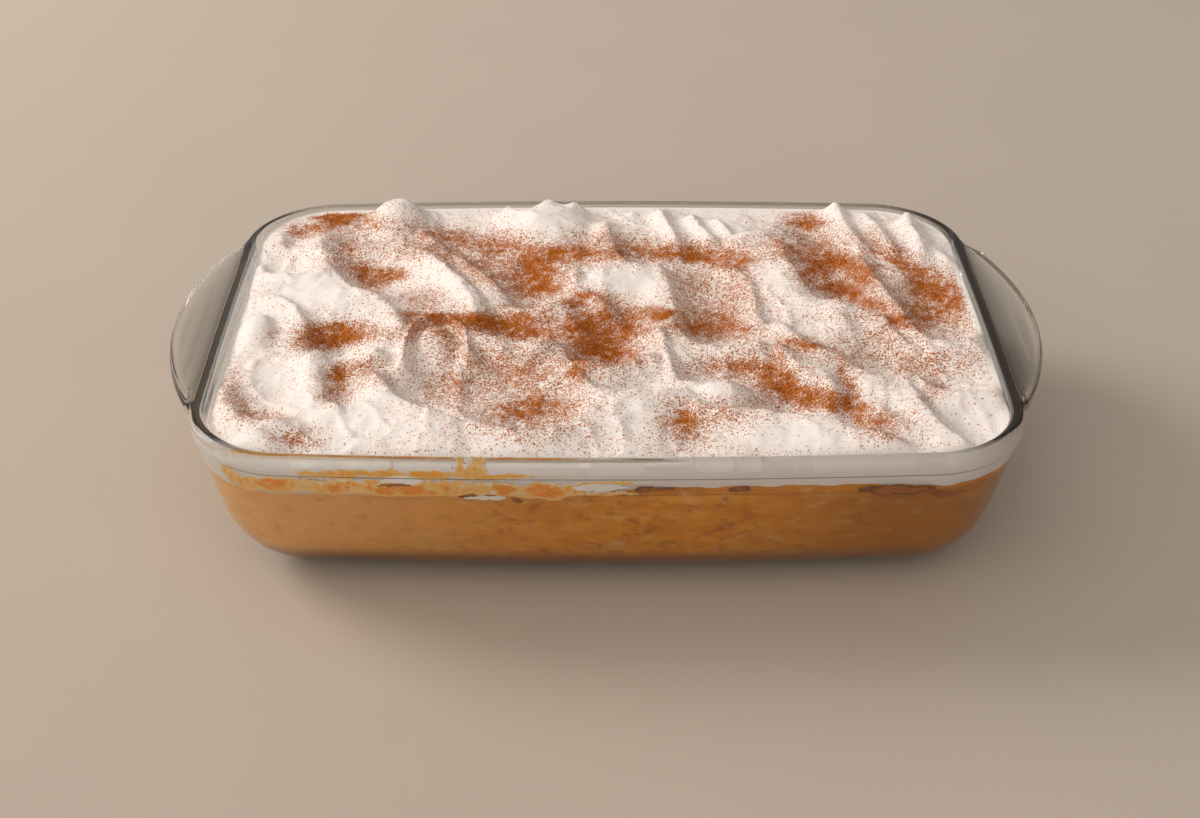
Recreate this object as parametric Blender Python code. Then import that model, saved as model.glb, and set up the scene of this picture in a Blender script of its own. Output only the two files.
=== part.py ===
"""Tres leches cake in its clear glass oven dish.

Three pieces, each one solid: the glass dish with a crescent handle at each short end, the soaked
sponge that fills it, and the whipped cream spooned over the sponge in hollows, folds and peaks.
Lengths are in metres. The origin is at the middle of the dish's flat base, X runs along the dish
from handle to handle, +Z is up.
"""
import math

import bmesh
import bpy
import numpy as np

MM = 0.001

# Dish, measured on the line that runs along the top of its rim
OVERALL_LENGTH = 0.350
RIM_HEIGHT = 0.0676
RIM_HALF_LENGTH = 0.1530
RIM_HALF_WIDTH = 0.1036
RIM_CORNER_RADIUS = 0.0335
BOW_OF_SHORT_SIDES = 0.0015
BOW_OF_LONG_SIDES = 0.0052
LIP_RADIUS = 0.0028

# Walls and base
WALL_THICKNESS = 0.0050
BASE_THICKNESS = 0.0055
WALL_TOP = 0.0600
WALL_TAPER = 0.0144
STEP_UNDER_RIM = 0.00065
STEP_HEIGHT = 0.0002
BASE_FILLET = 0.039
LOWER_CORNER_EXTRA = 0.0025
SMALLEST_CORNER = 0.004

# Crescent handles
HANDLE_EDGE_ROUND = 0.0012
HANDLE_OVERHANG = (OVERALL_LENGTH / 2 - RIM_HALF_LENGTH - BOW_OF_SHORT_SIDES - LIP_RADIUS
                   - HANDLE_EDGE_ROUND)
HANDLE_HALF_SPAN = 0.071
HANDLE_FADE = 0.003
HANDLE_UNDERSIDE = 0.0616
HANDLE_TOP = 0.0665
HANDLE_BORDER_WIDTH = 0.0022
HANDLE_BORDER_RISE = 0.0005
LIP_SLOPE = 0.0045

# Food
FIT_GAP = 0.0003
CREAM_LINE = 0.0533
CREAM_LINE_RISE = 0.0012
CREAM_CELL = 0.0041
CREAM_ROOM_TOP = 0.090

# How finely the outlines are cut
CORNER_STEPS = 8
LONG_SIDE_STEPS = 8
SHORT_SIDE_STEPS = 14
FILLET_STEPS = 5

# Cream surface
# Heights are in millimetres above the rim, places in millimetres from the middle of the dish,
# and turns in degrees anticlockwise. A hollow's far side points to +Y before it is turned.
# At the glass, the level goes from the front's to the back's between two places across the dish.
CREAM_EDGE = -4.8
CREAM_EDGE_TILT = 2.0
CREAM_EDGE_BACK = -1.7
CREAM_EDGE_RISES = (35.0, 95.0)
CREAM_EDGE_REACH = 3.2
CREST_ROUND = 0.9
CREST_FALL = 1.3
CREST_SHARE = 0.52
MOUND_FLATNESS = 1.35
HOLLOW_FLATNESS = 1.4
PEAK_FALL = 1.6
PEAK_ROUND = 0.25
THINNEST_CREAM = 1.6
CREAM_REST = -3.5
CREAM_SOFTNESS = 2.1
FOLD_STEPS = 8

# Crest lines of the folds: three places along each, rise, reach on its left, reach on its right
FOLDS = (
    ((-124, 68), (-117, 40), (-100, 15), 8.0, 16, 26),
    ((-100, 15), (-89, 4), (-82, -16), 7.0, 9, 18),
    ((-136, 14), (-124, -3), (-114, -34), 6.0, 7, 13),
    ((-114, -37), (-104, -30), (-90, -35), 8.0, 7, 12),
    ((-112, -44), (-107, -60), (-101, -74), 6.0, 7, 13),
    ((-146, -56), (-138, -78), (-122, -83), 5.5, 9, 10),
    ((-88, -54), (-77, -73), (-58, -85), 8.0, 9, 26),
    ((-50, -88), (-25, -93), (-6, -76), 7.0, 8, 14),
    ((-17, -29), (-10, -52), (-3, -64), 7.5, 6, 11),
    ((-11, -42), (2, -46), (15, -38), 8.5, 8, 15),
    ((-4, -64), (10, -67), (26, -65), 7.5, 8, 28),
    ((26, -67), (40, -76), (56, -79), 5.5, 6, 16),
    ((59, -80), (80, -87), (101, -99), 8.0, 8, 20),
    ((116, -47), (118, -74), (131, -99), 6.5, 9, 10),
    ((120, -49), (129, -62), (149, -63), 5.5, 8, 10),
    ((92, -35), (104, -49), (118, -47), 5.5, 7, 14),
    ((71, -12), (79, -27), (93, -37), 6.0, 8, 12),
    ((112, -6), (116, -17), (122, -25), 5.5, 6, 8),
    ((76, 54), (81, 28), (97, 3), 9.0, 8, 26),
    ((97, 3), (105, -2), (112, -6), 7.0, 7, 15),
    ((109, 50), (114, 22), (121, -5), 7.0, 7, 7),
    ((123, -7), (134, -22), (150, -15), 6.5, 7, 14),
    ((29, -12), (38, -26), (58, -28), 7.5, 9, 15),
    ((22, 37), (27, 15), (29, -12), 7.5, 9, 15),
    ((50, 42), (59, 28), (61, -5), 6.0, 7, 8),
    ((0, 35), (12, 37), (22, 35), 8.0, 7, 24),
    ((-14, 20), (-6, 15), (0, 6), 6.5, 6, 6),
    ((-38, 7), (-28, 4), (-18, 13), 7.5, 8, 13),
    ((-62, 52), (-52, 34), (-40, 14), 7.5, 9, 12),
    ((-78, 50), (-64, 30), (-52, -1), 8.0, 12, 9),
    ((-104, 62), (-82, 61), (-62, 52), 6.0, 11, 13),
    ((-60, -13), (-46, -24), (-34, -22), 7.5, 8, 13),
    ((-34, -22), (-28, -28), (-21, -23), 7.5, 7, 10),
    ((-79, -42), (-77, -16), (-68, -6), 8.4, 6, 4),
    ((-68, -6), (-59, -11), (-54, -36), 8.4, 6, 4),
    ((-24, -5), (-23, -12), (-22, -18), 4.0, 3, 3),
    ((-147, 46), (-136, 34), (-124, 46), 6.0, 7, 14),
    ((-141, 72), (-134, 56), (-124, 68), 5.0, 6, 7),
    ((60, 69), (72, 74), (82, 79), 7.0, 8, 16),
    ((25, 92), (28, 80), (31, 68), 6.5, 6, 6),
    ((39, 90), (42, 80), (46, 70), 6.0, 6, 6),
    ((50, 88), (53, 80), (55, 71), 5.0, 5, 5),
    ((0, 80), (4, 62), (8, 46), 7.5, 13, 10),
    ((104, 94), (107, 80), (110, 62), 6.0, 8, 8),
    ((116, 92), (121, 78), (124, 58), 5.5, 8, 8),
    ((134, 84), (136, 72), (137, 56), 6.5, 9, 7),
    ((138, 58), (144, 55), (151, 50), 4.0, 14, 7),
    ((22, -14), (23, -32), (26, -50), 7.0, 7, 7),
    ((25, -50), (34, -57), (47, -54), 6.0, 8, 9),
    ((-84, 88), (-80, 77), (-73, 66), 5.0, 7, 7),
    ((-30, 62), (-22, 66), (-12, 62), 4.0, 10, 12),
    ((68, -30), (74, -44), (86, -57), 6.5, 12, 7),
    ((-58, -30), (-57, -50), (-57, -70), 4.0, 8, 6),
)

# x, y of the lowest point, half width, near reach, far reach, turn, how deep it is dug
HOLLOWS = (
    (-135, 45, 12, 8, 16, 0, 6.0),
    (-133, 71, 8, 8, 16, 0, 4.5),
    (-97, 32, 15, 13, 34, 19, 6.0),
    (-108, -24, 10, 9, 17, 8, 10.0),
    (-100, -61, 8, 9, 20, 8, 6.5),
    (-130, -66, 16, 14, 28, 0, 3.0),
    (-67, -63, 20, 9, 18, -45, 5.0),
    (-40, -12, 19, 8, 18, -22, 7.5),
    (-29, 18, 13, 10, 34, 5, 9.0),
    (-50, 52, 26, 14, 22, -60, 4.0),
    (-3, -31, 14, 10, 32, -18, 11.0),
    (-23, -77, 17, 10, 28, 0, 6.5),
    (-46, -52, 12, 24, 24, 0, 2.5),
    (15, 52, 8, 9, 26, 20, 5.0),
    (44, -13, 15, 11, 44, 3, 6.5),
    (40, 53, 22, 8, 13, 0, 4.5),
    (90, 77, 10, 9, 16, 0, 5.0),
    (96, 20, 13, 12, 32, -5, 8.0),
    (90, 43, 10, 8, 16, -50, 8.0),
    (137, -10, 12, 10, 48, 0, 7.0),
    (124, -50, 24, 10, 28, 0, 3.5),
    (105, -36, 13, 9, 22, 0, 3.0),
    (136, -84, 15, 14, 20, 0, 4.0),
    (71, -70, 12, 10, 24, 5, 9.0),
    (92, -80, 6, 10, 32, 0, 4.5),
    (42, -46, 16, 9, 20, 0, 4.5),
    (11, -54, 13, 8, 12, 0, 3.0),
    (28, -92, 9, 14, 28, 0, 2.5),
    (82, -8, 9, 8, 11, 0, 2.0),
    (-67, -38, 9, 14, 14, 0, 2.0),
)

# x, y, half length, half width, turn, rise
MOUNDS = (
    (-92, 90, 13, 16, 0, 13.0),
    (-26, 84, 20, 18, 0, 9.5),
    (-140, -11, 8, 14, 0, 6.5),
    (-129, -96, 11, 9, 0, 6.0),
    (43, -62, 13, 9, 0, 7.5),
    (-13, 33, 5, 8, 0, 8.5),
    (-67, -24, 9, 17, 6, 7.6),
)

# x, y, radius of the foot, rise
PEAKS = (
    (-44, 95, 5, 7.0),
    (-25, 97, 7, 6.0),
    (-12, 96, 6, 8.0),
    (13, 96, 5, 4.0),
    (25, 98, 6, 4.0),
    (103, 97, 8, 8.0),
    (135, 85, 6, 5.0),
    (-12, 22, 5, 3.0),
)


def soft_min(a, b, soft):
    """The lower of two surfaces, with the edge between them rounded."""
    share = np.clip(0.5 + 0.5 * (b - a) / soft, 0.0, 1.0)
    return b + (a - b) * share - soft * share * (1.0 - share)


def soft_max(a, b, soft):
    """The higher of two surfaces, with the valley between them rounded."""
    return -soft_min(-a, -b, soft)


def turned(x, y, x0, y0, turn):
    """Places relative to a point, in axes turned by some degrees."""
    c = math.cos(math.radians(turn))
    s = math.sin(math.radians(turn))
    return c * (x - x0) + s * (y - y0), -s * (x - x0) + c * (y - y0)


def fold_height(x, y, first, middle, last, rise, left, right):
    """A crest along the curve through three places, with a slope of its own reach on each side."""
    t = np.linspace(0.0, 1.0, FOLD_STEPS + 1)
    w = np.stack([(1 - t) * (1 - 2 * t), 4 * t * (1 - t), t * (2 * t - 1)])
    px = w[0] * first[0] + w[1] * middle[0] + w[2] * last[0]
    py = w[0] * first[1] + w[1] * middle[1] + w[2] * last[1]
    nearest = np.full_like(x, 1e9)
    side = np.zeros_like(x)
    for k in range(FOLD_STEPS):
        dx = px[k + 1] - px[k]
        dy = py[k + 1] - py[k]
        run = math.hypot(dx, dy)
        s = np.clip(((x - px[k]) * dx + (y - py[k]) * dy) / run ** 2, 0.0, 1.0)
        ex = x - px[k] - s * dx
        ey = y - py[k] - s * dy
        d = np.hypot(ex, ey)
        nearer = d < nearest
        nearest = np.where(nearer, d, nearest)
        side = np.where(nearer, (dx * ey - dy * ex) / (run * np.maximum(d, 1e-6)), side)
    reach = right + (left - right) * (0.5 + 0.5 * side)
    edge = np.exp(-CREST_FALL * (np.hypot(nearest, CREST_ROUND) - CREST_ROUND) / reach)
    slope = (1.0 + (nearest / reach) ** 2) ** -1.5
    return rise * (CREST_SHARE * edge + (1.0 - CREST_SHARE) * slope)


def cream_line(x):
    """Height of the line between sponge and cream."""
    return CREAM_LINE + CREAM_LINE_RISE * x / RIM_HALF_LENGTH


def to_glass(x, y):
    """Distance from a place to the dish's inner wall, in millimetres."""
    half_x = (RIM_HALF_LENGTH - LIP_RADIUS) / MM
    half_y = (RIM_HALF_WIDTH - LIP_RADIUS) / MM
    radius = (RIM_CORNER_RADIUS - LIP_RADIUS) / MM
    bow_x = BOW_OF_SHORT_SIDES / MM * (1.0 - (y / half_y) ** 2)
    bow_y = BOW_OF_LONG_SIDES / MM * (1.0 - (x / half_x) ** 2)
    past_x = np.abs(x) - half_x - bow_x + radius
    past_y = np.abs(y) - half_y - bow_y + radius
    outside = np.hypot(np.maximum(past_x, 0.0), np.maximum(past_y, 0.0))
    return radius - outside - np.minimum(np.maximum(past_x, past_y), 0.0)


def cream_height(x, y):
    """Height of the finished cream above the rim, in millimetres."""
    z = np.zeros_like(x)
    for first, middle, last, rise, left, right in FOLDS:
        z = soft_max(z, fold_height(x, y, first, middle, last, rise, left, right), CREAM_SOFTNESS)
    for x0, y0, length, width, turn, rise in MOUNDS:
        u, v = turned(x, y, x0, y0, turn)
        mound = rise * np.exp(-((u / length) ** 2 + (v / width) ** 2) ** MOUND_FLATNESS)
        z = soft_max(z, mound, CREAM_SOFTNESS)
    z = z + CREAM_REST
    for x0, y0, wide, near, far, turn, dig in HOLLOWS:
        u, v = turned(x, y, x0, y0, turn)
        reach = np.where(v < 0.0, near, far)
        z = z - dig * np.exp(-((u / wide) ** 2 + (v / reach) ** 2) ** HOLLOW_FLATNESS)
    for x0, y0, foot, rise in PEAKS:
        away = np.hypot(x - x0, y - y0) / foot
        z = z + rise * np.exp(-PEAK_FALL * np.hypot(away, PEAK_ROUND))
    lowest = (cream_line(x * MM) - RIM_HEIGHT) / MM + THINNEST_CREAM
    z = soft_max(z, lowest, CREAM_SOFTNESS)
    front = CREAM_EDGE + CREAM_EDGE_TILT * x * MM / RIM_HALF_LENGTH
    rise_start, rise_end = CREAM_EDGE_RISES
    backness = np.clip((y - rise_start) / (rise_end - rise_start), 0.0, 1.0)
    edge = front + (CREAM_EDGE_BACK - front) * backness
    share = np.exp(-np.maximum(to_glass(x, y), 0.0) / CREAM_EDGE_REACH)
    return z + (edge - z) * share


def clear_scene():
    for ob in list(bpy.data.objects):
        bpy.data.objects.remove(ob, do_unlink=True)


def new_collection(name):
    group = bpy.data.collections.new(name)
    bpy.context.scene.collection.children.link(group)
    return group


def finish(name, colour, roughness, transmission=0.0):
    """A Principled material."""
    mat = bpy.data.materials.new(name)
    mat.use_nodes = True
    shader = mat.node_tree.nodes["Principled BSDF"]
    shader.inputs["Base Color"].default_value = (*colour, 1.0)
    shader.inputs["Roughness"].default_value = roughness
    shader.inputs["Metallic"].default_value = 0.0
    shader.inputs["Transmission Weight"].default_value = transmission
    return mat


def add_object(name, bm, group, mat=None):
    mesh = bpy.data.meshes.new(name)
    bm.to_mesh(mesh)
    bm.free()
    ob = bpy.data.objects.new(name, mesh)
    group.objects.link(ob)
    if mat is not None:
        mesh.materials.append(mat)
    return ob


def outline(offset, lower=0.0):
    """Points round the dish at a distance outside the rim line; lower is 0 at the rim, 1 at the base."""
    half_x = RIM_HALF_LENGTH + offset
    half_y = RIM_HALF_WIDTH + offset
    radius = max(RIM_CORNER_RADIUS + offset + LOWER_CORNER_EXTRA * lower, SMALLEST_CORNER)
    corners = [(1, 1), (-1, 1), (-1, -1), (1, -1)]
    points = []
    for quarter, (sign_x, sign_y) in enumerate(corners):
        centre_x = sign_x * (half_x - radius)
        centre_y = sign_y * (half_y - radius)
        for k in range(CORNER_STEPS + 1):
            angle = (quarter + k / CORNER_STEPS) * math.pi / 2
            points.append((centre_x + radius * math.cos(angle), centre_y + radius * math.sin(angle)))
        x, y = points[-1]
        steps = SHORT_SIDE_STEPS if quarter % 2 else LONG_SIDE_STEPS
        for k in range(1, steps):
            share = 1 - 2 * k / steps
            points.append((x, y * share) if quarter % 2 else (x * share, y))
    bowed = []
    for x, y in points:
        bow_x = BOW_OF_SHORT_SIDES * (1.0 - (y / half_y) ** 2) * x / half_x
        bow_y = BOW_OF_LONG_SIDES * (1.0 - (x / half_x) ** 2) * y / half_y
        bowed.append((x + bow_x, y + bow_y))
    return bowed


def handle_reach(y):
    """How far a handle stands out from the rim at a place across the dish."""
    reach = HANDLE_OVERHANG * (1.0 - (y / HANDLE_HALF_SPAN) ** 2)
    return 0.5 * (reach + math.sqrt(reach * reach + HANDLE_FADE ** 2)) * fade(abs(y))


def fade(y):
    """1 along the handle, falling to 0 where it has run into the rim's corner."""
    start = HANDLE_HALF_SPAN - 2 * HANDLE_FADE
    share = min(max((y - start) / (4 * HANDLE_FADE), 0.0), 1.0)
    return 1.0 - share * share * (3.0 - 2.0 * share)


def loop_at(offset, z, lower=0.0):
    return [(x, y, z) for x, y in outline(offset, lower)]


def rim_loop(plain, handle, share):
    """A loop of the rim: (offset, height) on the plain sides, and on the handles, where it also
    stands out by a share of the handle's reach."""
    points = []
    for (x, y), (hx, hy) in zip(outline(plain[0]), outline(handle[0])):
        reach = handle_reach(y) if abs(x) > RIM_HALF_LENGTH - RIM_CORNER_RADIUS else 0.0
        mix = min(reach / (2 * LIP_RADIUS), 1.0)
        px = x + (hx - x) * mix + math.copysign(share * reach, x)
        py = y + (hy - y) * mix
        points.append((px, py, plain[1] + (handle[1] - plain[1]) * mix))
    return points


def wall_offset(z, inner):
    """Offset of the outer or inner face of the sloping wall at a height."""
    top = LIP_RADIUS - STEP_UNDER_RIM - (WALL_THICKNESS if inner else 0.0)
    return top - WALL_TAPER * (WALL_TOP - z) / WALL_TOP


def fillet_loops(floor, radius, inner, grow):
    """Loops of the rounded edge between a floor and the wall, from the floor up."""
    slope = math.atan2(WALL_TAPER, WALL_TOP)
    tangent = radius * math.tan((math.pi / 2 - slope) / 2)
    centre_offset = wall_offset(floor, inner) - tangent
    loops = []
    for k in range(FILLET_STEPS + 1):
        angle = (math.pi / 2 - slope) * k / FILLET_STEPS
        offset = centre_offset + (radius + grow) * math.sin(angle)
        z = floor + radius - (radius + grow) * math.cos(angle)
        loops.append(loop_at(offset, z, 1.0 - max(z, 0.0) / WALL_TOP))
    return loops


def loft(loops, name, group, mat=None):
    """One closed body through matching loops, with a flat face over the first and the last."""
    bm = bmesh.new()
    rings = [[bm.verts.new(p) for p in loop] for loop in loops]
    for low, high in zip(rings, rings[1:]):
        for k in range(len(low)):
            n = (k + 1) % len(low)
            bm.faces.new((low[k], low[n], high[n], high[k]))
    bm.faces.new(rings[0][::-1])
    bm.faces.new(rings[-1])
    bmesh.ops.recalc_face_normals(bm, faces=bm.faces)
    return add_object(name, bm, group, mat)


def lip_point(angle):
    """Offset and height on the rounded lip; 0 degrees is its outer side, 90 its top."""
    a = math.radians(angle)
    return LIP_RADIUS * math.cos(a), RIM_HEIGHT - LIP_RADIUS + LIP_RADIUS * math.sin(a)


def make_dish(group, mat):
    """The glass dish, lofted from its foot up the outside, over the lip and down the inside."""
    edge = LIP_RADIUS + HANDLE_EDGE_ROUND
    middle = 0.5 * (HANDLE_UNDERSIDE + HANDLE_TOP)
    border = HANDLE_BORDER_WIDTH
    loops = fillet_loops(0.0, BASE_FILLET, False, 0.0)
    loops.append(loop_at(wall_offset(WALL_TOP, False), WALL_TOP))
    ledge = (LIP_RADIUS, WALL_TOP + STEP_HEIGHT)
    loops.append(rim_loop(ledge, (LIP_RADIUS, HANDLE_UNDERSIDE), 1.0))
    loops.append(rim_loop((LIP_RADIUS, 0.5 * (middle + HANDLE_UNDERSIDE)), (edge, middle), 1.0))
    loops.append(rim_loop((LIP_RADIUS, middle), (LIP_RADIUS, HANDLE_TOP + HANDLE_BORDER_RISE), 1.0))
    loops.append(rim_loop(lip_point(0), (LIP_RADIUS - border, HANDLE_TOP), 1.0))
    loops.append(rim_loop(lip_point(25), (LIP_SLOPE, HANDLE_TOP), 0.0))
    loops.append(rim_loop(lip_point(55), lip_point(60), 0.0))
    for angle in (90, 120, 150, 180):
        loops.append(rim_loop(lip_point(angle), lip_point(angle), 0.0))
    loops.append(loop_at(wall_offset(WALL_TOP, True), WALL_TOP))
    inside = fillet_loops(BASE_THICKNESS, BASE_FILLET - WALL_THICKNESS, True, 0.0)
    loops.extend(inside[::-1])
    return loft(loops, "glass_dish", group, mat)


def make_sponge(group, mat):
    """The soaked sponge: the inside of the dish up to the cream line, a gap clear of the glass."""
    loops = fillet_loops(BASE_THICKNESS, BASE_FILLET - WALL_THICKNESS, True, -FIT_GAP)
    high = loop_at(wall_offset(WALL_TOP, True) - FIT_GAP, WALL_TOP)
    top = []
    for (x0, y0, z0), (x1, y1, z1) in zip(loops[-1], high):
        level = cream_line(x1) - FIT_GAP / 2
        share = (level - z0) / (z1 - z0)
        top.append((x0 + (x1 - x0) * share, y0 + (y1 - y0) * share, level))
    loops.append(top)
    return loft(loops, "sponge_cake", group, mat)


def make_cream_room(group):
    """The space that the cream may fill: the inside of the dish above the cream line."""
    gap = -FIT_GAP
    start = fillet_loops(BASE_THICKNESS, BASE_FILLET - WALL_THICKNESS, True, gap)[-1]
    lip = RIM_HEIGHT - LIP_RADIUS
    loops = [start,
             loop_at(wall_offset(WALL_TOP, True) + gap, WALL_TOP),
             loop_at(-LIP_RADIUS + gap, lip),
             loop_at(-LIP_RADIUS + gap, CREAM_ROOM_TOP)]
    room = loft(loops, "cream_room", group)
    room.hide_render = True
    room.display_type = "WIRE"
    return room


def make_cream(group, mat, room):
    """The whipped cream: a sheet spooned into shape, given a flat underside, trimmed by the dish."""
    half_x = RIM_HALF_LENGTH + CREAM_CELL
    half_y = RIM_HALF_WIDTH + BOW_OF_LONG_SIDES + CREAM_CELL
    bm = bmesh.new()
    bmesh.ops.create_grid(bm, x_segments=round(2 * half_x / CREAM_CELL),
                          y_segments=round(2 * half_y / CREAM_CELL), size=1.0)
    places = np.array([(v.co.x * half_x, v.co.y * half_y) for v in bm.verts])
    heights = cream_height(places[:, 0] / MM, places[:, 1] / MM)
    for v, (x, y), height in zip(bm.verts, places, heights):
        v.co = (x, y, RIM_HEIGHT + height * MM)
    rim = [e for e in bm.edges if e.is_boundary]
    skirt = bmesh.ops.extrude_edge_only(bm, edges=rim)["geom"]
    for v in (g for g in skirt if isinstance(g, bmesh.types.BMVert)):
        v.co.z = cream_line(v.co.x) + FIT_GAP / 2
    bmesh.ops.holes_fill(bm, edges=[e for e in bm.edges if e.is_boundary], sides=0)
    bmesh.ops.recalc_face_normals(bm, faces=bm.faces)
    cream = add_object("whipped_cream", bm, group, mat)
    trim = cream.modifiers.new("trim", "BOOLEAN")
    trim.operation = "INTERSECT"
    trim.solver = "EXACT"
    trim.object = room
    return cream


def main():
    clear_scene()
    cake = new_collection("tres_leches_cake")
    cutters = new_collection("cutters")
    glass = finish("clear_glass", (0.93, 0.96, 0.94), 0.03, 1.0)
    sponge = finish("soaked_sponge", (0.62, 0.36, 0.15), 0.6)
    cream = finish("whipped_cream", (0.90, 0.84, 0.79), 0.55)
    make_dish(cake, glass)
    make_sponge(cake, sponge)
    make_cream(cake, cream, make_cream_room(cutters))


main()
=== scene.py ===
# %% [markdown]
# # A tres leches cake in its glass dish
#
# The real thing is a sponge soaked in three milks, baked and served in a clear oven dish. Whipped
# cream is spooned over it in hollows and soft crests, and ground cinnamon is dusted on top. This
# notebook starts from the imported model, which fixes every size, and then makes each piece again
# with its fine form and its finish.

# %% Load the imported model
import math

import bmesh
import bpy
import numpy as np
from mathutils import Matrix, Vector


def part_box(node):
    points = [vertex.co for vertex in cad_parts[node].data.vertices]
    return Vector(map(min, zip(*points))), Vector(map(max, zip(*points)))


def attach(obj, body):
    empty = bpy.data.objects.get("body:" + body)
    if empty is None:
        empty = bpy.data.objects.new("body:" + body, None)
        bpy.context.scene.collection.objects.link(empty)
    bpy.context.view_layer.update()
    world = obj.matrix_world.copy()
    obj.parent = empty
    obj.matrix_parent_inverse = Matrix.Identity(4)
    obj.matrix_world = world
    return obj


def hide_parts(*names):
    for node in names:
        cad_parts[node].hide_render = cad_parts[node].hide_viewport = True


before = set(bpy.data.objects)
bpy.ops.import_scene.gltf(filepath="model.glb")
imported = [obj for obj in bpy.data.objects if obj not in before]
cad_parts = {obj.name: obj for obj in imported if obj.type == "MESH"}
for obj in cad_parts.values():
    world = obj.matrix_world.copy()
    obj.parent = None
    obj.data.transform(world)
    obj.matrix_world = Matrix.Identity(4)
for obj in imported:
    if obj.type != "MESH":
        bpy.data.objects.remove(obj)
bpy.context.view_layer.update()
print("nodes:", sorted(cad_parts))

# %% [markdown]
# ## Sizes of the dish
#
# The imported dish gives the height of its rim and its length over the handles. The other sizes are
# those that the dish was designed with: the line along the top of its rim, the thickness of its
# wall, the slope of its sides and the rounding at its foot. They are written once, in metres.

# %% Sizes of the dish
MM = 0.001
dish_low, dish_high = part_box("glass_dish")
RIM_HEIGHT = dish_high.z
RIM_HALF_LENGTH = 0.1530
RIM_HALF_WIDTH = 0.1036
RIM_CORNER_RADIUS = 0.0335
BOW_OF_SHORT_SIDES = 0.0015
BOW_OF_LONG_SIDES = 0.0052
LIP_RADIUS = 0.0028
WALL_THICKNESS = 0.0050
BASE_THICKNESS = 0.0055
WALL_TOP = 0.0600
WALL_TAPER = 0.0144
STEP_UNDER_RIM = 0.00065
STEP_HEIGHT = 0.0002
BASE_FILLET = 0.039
LOWER_CORNER_EXTRA = 0.0025
SMALLEST_CORNER = 0.004
HANDLE_HALF_SPAN = 0.071
HANDLE_FADE = 0.003
HANDLE_UNDERSIDE = 0.0616
HANDLE_TOP = 0.0665
HANDLE_EDGE_ROUND = 0.0012
HANDLE_BORDER_WIDTH = 0.0022
HANDLE_BORDER_RISE = 0.0005
# The soft blend at a handle's ends adds a little to its reach, which is taken off again
handle_length = dish_high.x - RIM_HALF_LENGTH - BOW_OF_SHORT_SIDES - LIP_RADIUS - HANDLE_EDGE_ROUND
HANDLE_OVERHANG = handle_length - HANDLE_FADE ** 2 / (4 * handle_length)
LIP_SLOPE = 0.0045
PRESS = 0.00025
print("dish length over its handles, mm:", round((dish_high.x - dish_low.x) / MM, 1))

# %% [markdown]
# ## The camera
#
# The photograph was taken a little left of the middle, from about 70 cm away and 37 cm above the
# rim, looking down at 31 degrees. A long lens keeps the dish's sides nearly parallel. The camera is
# built from those facts, so the cake can be compared with the photograph region by region.

# %% The camera
CAMERA_PLACE = Vector((-0.0072, -0.6950, RIM_HEIGHT + 0.3730))
CAMERA_PITCH = math.radians(31.0)
CAMERA_TURN = -0.00696
CAMERA_ROLL = 0.00231
FOCAL_PIXELS = 1938
PHOTO_WIDTH = 1200

bpy.ops.object.select_all(action="DESELECT")
bpy.ops.object.camera_add()
camera = bpy.context.object
camera.name = "camera"
camera.data.sensor_width = 36.0
camera.data.lens = camera.data.sensor_width * FOCAL_PIXELS / PHOTO_WIDTH
camera.data.clip_start = 0.01
camera.matrix_world = (Matrix.Translation(CAMERA_PLACE) @ Matrix.Rotation(CAMERA_TURN, 4, "Z")
                       @ Matrix.Rotation(math.pi / 2 - CAMERA_PITCH, 4, "X")
                       @ Matrix.Rotation(CAMERA_ROLL, 4, "Z"))
bpy.context.scene.camera = camera
print("lens, mm:", round(camera.data.lens, 2))

# %% [markdown]
# ## Helpers for materials
#
# Every finish here is a node tree. These short helpers add a node, set its values and link it, so
# that a material reads from top to bottom like a recipe. Patterns use Object coordinates in metres,
# so a noise with a scale of 1000 has grains about a millimetre across.

# %% Helpers for materials
def new_material(name):
    """A material with only its Principled shader, and the tree to add to."""
    mat = bpy.data.materials.new(name)
    mat.use_nodes = True
    tree = mat.node_tree
    return mat, tree, tree.nodes["Principled BSDF"]


def add_node(tree, kind, settings=(), **values):
    """A node with its settings, its input values and its input links."""
    node = tree.nodes.new(kind)
    for name, value in dict(settings).items():
        setattr(node, name, value)
    for name, value in values.items():
        socket = node.inputs[name.replace("_", " ")]
        if isinstance(value, bpy.types.NodeSocket):
            tree.links.new(value, socket)
        else:
            socket.default_value = value
    return node


def places(tree):
    """Object coordinates, in metres."""
    return add_node(tree, "ShaderNodeTexCoord").outputs["Object"]


def noise(tree, vector, scale, detail=2.0, roughness=0.5):
    """Soft random values from 0 to 1, mostly near the middle; scale is in grains a metre."""
    node = add_node(tree, "ShaderNodeTexNoise", Vector=vector, Scale=scale, Detail=detail,
                    Roughness=roughness)
    return node.outputs["Factor"] if "Factor" in node.outputs else node.outputs["Fac"]


def remap(tree, value, low, high, to_low=0.0, to_high=1.0, smooth=True):
    """A value between low and high, brought to a new range and held there."""
    node = add_node(tree, "ShaderNodeMapRange", Value=value)
    node.interpolation_type = "SMOOTHSTEP" if smooth else "LINEAR"
    ends = (("From Min", low), ("From Max", high), ("To Min", to_low), ("To Max", to_high))
    for name, number in ends:
        node.inputs[name].default_value = number
    return node.outputs["Result"]


print("pattern helpers ready")

# %% [markdown]
# ### Patterns that steer a colour
#
# A pattern is a number at each place. Arithmetic on such numbers says where a colour goes, and a mix
# of two colours puts it there. The last two helpers give a shader its relief and its values.

# %% Patterns that steer a colour
def math_node(tree, operation, first, second=0.0):
    """One step of arithmetic on two numbers or sockets."""
    node = tree.nodes.new("ShaderNodeMath")
    node.operation = operation
    for socket, value in zip(node.inputs, (first, second)):
        if isinstance(value, bpy.types.NodeSocket):
            tree.links.new(value, socket)
        else:
            socket.default_value = value
    return node.outputs[0]


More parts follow.
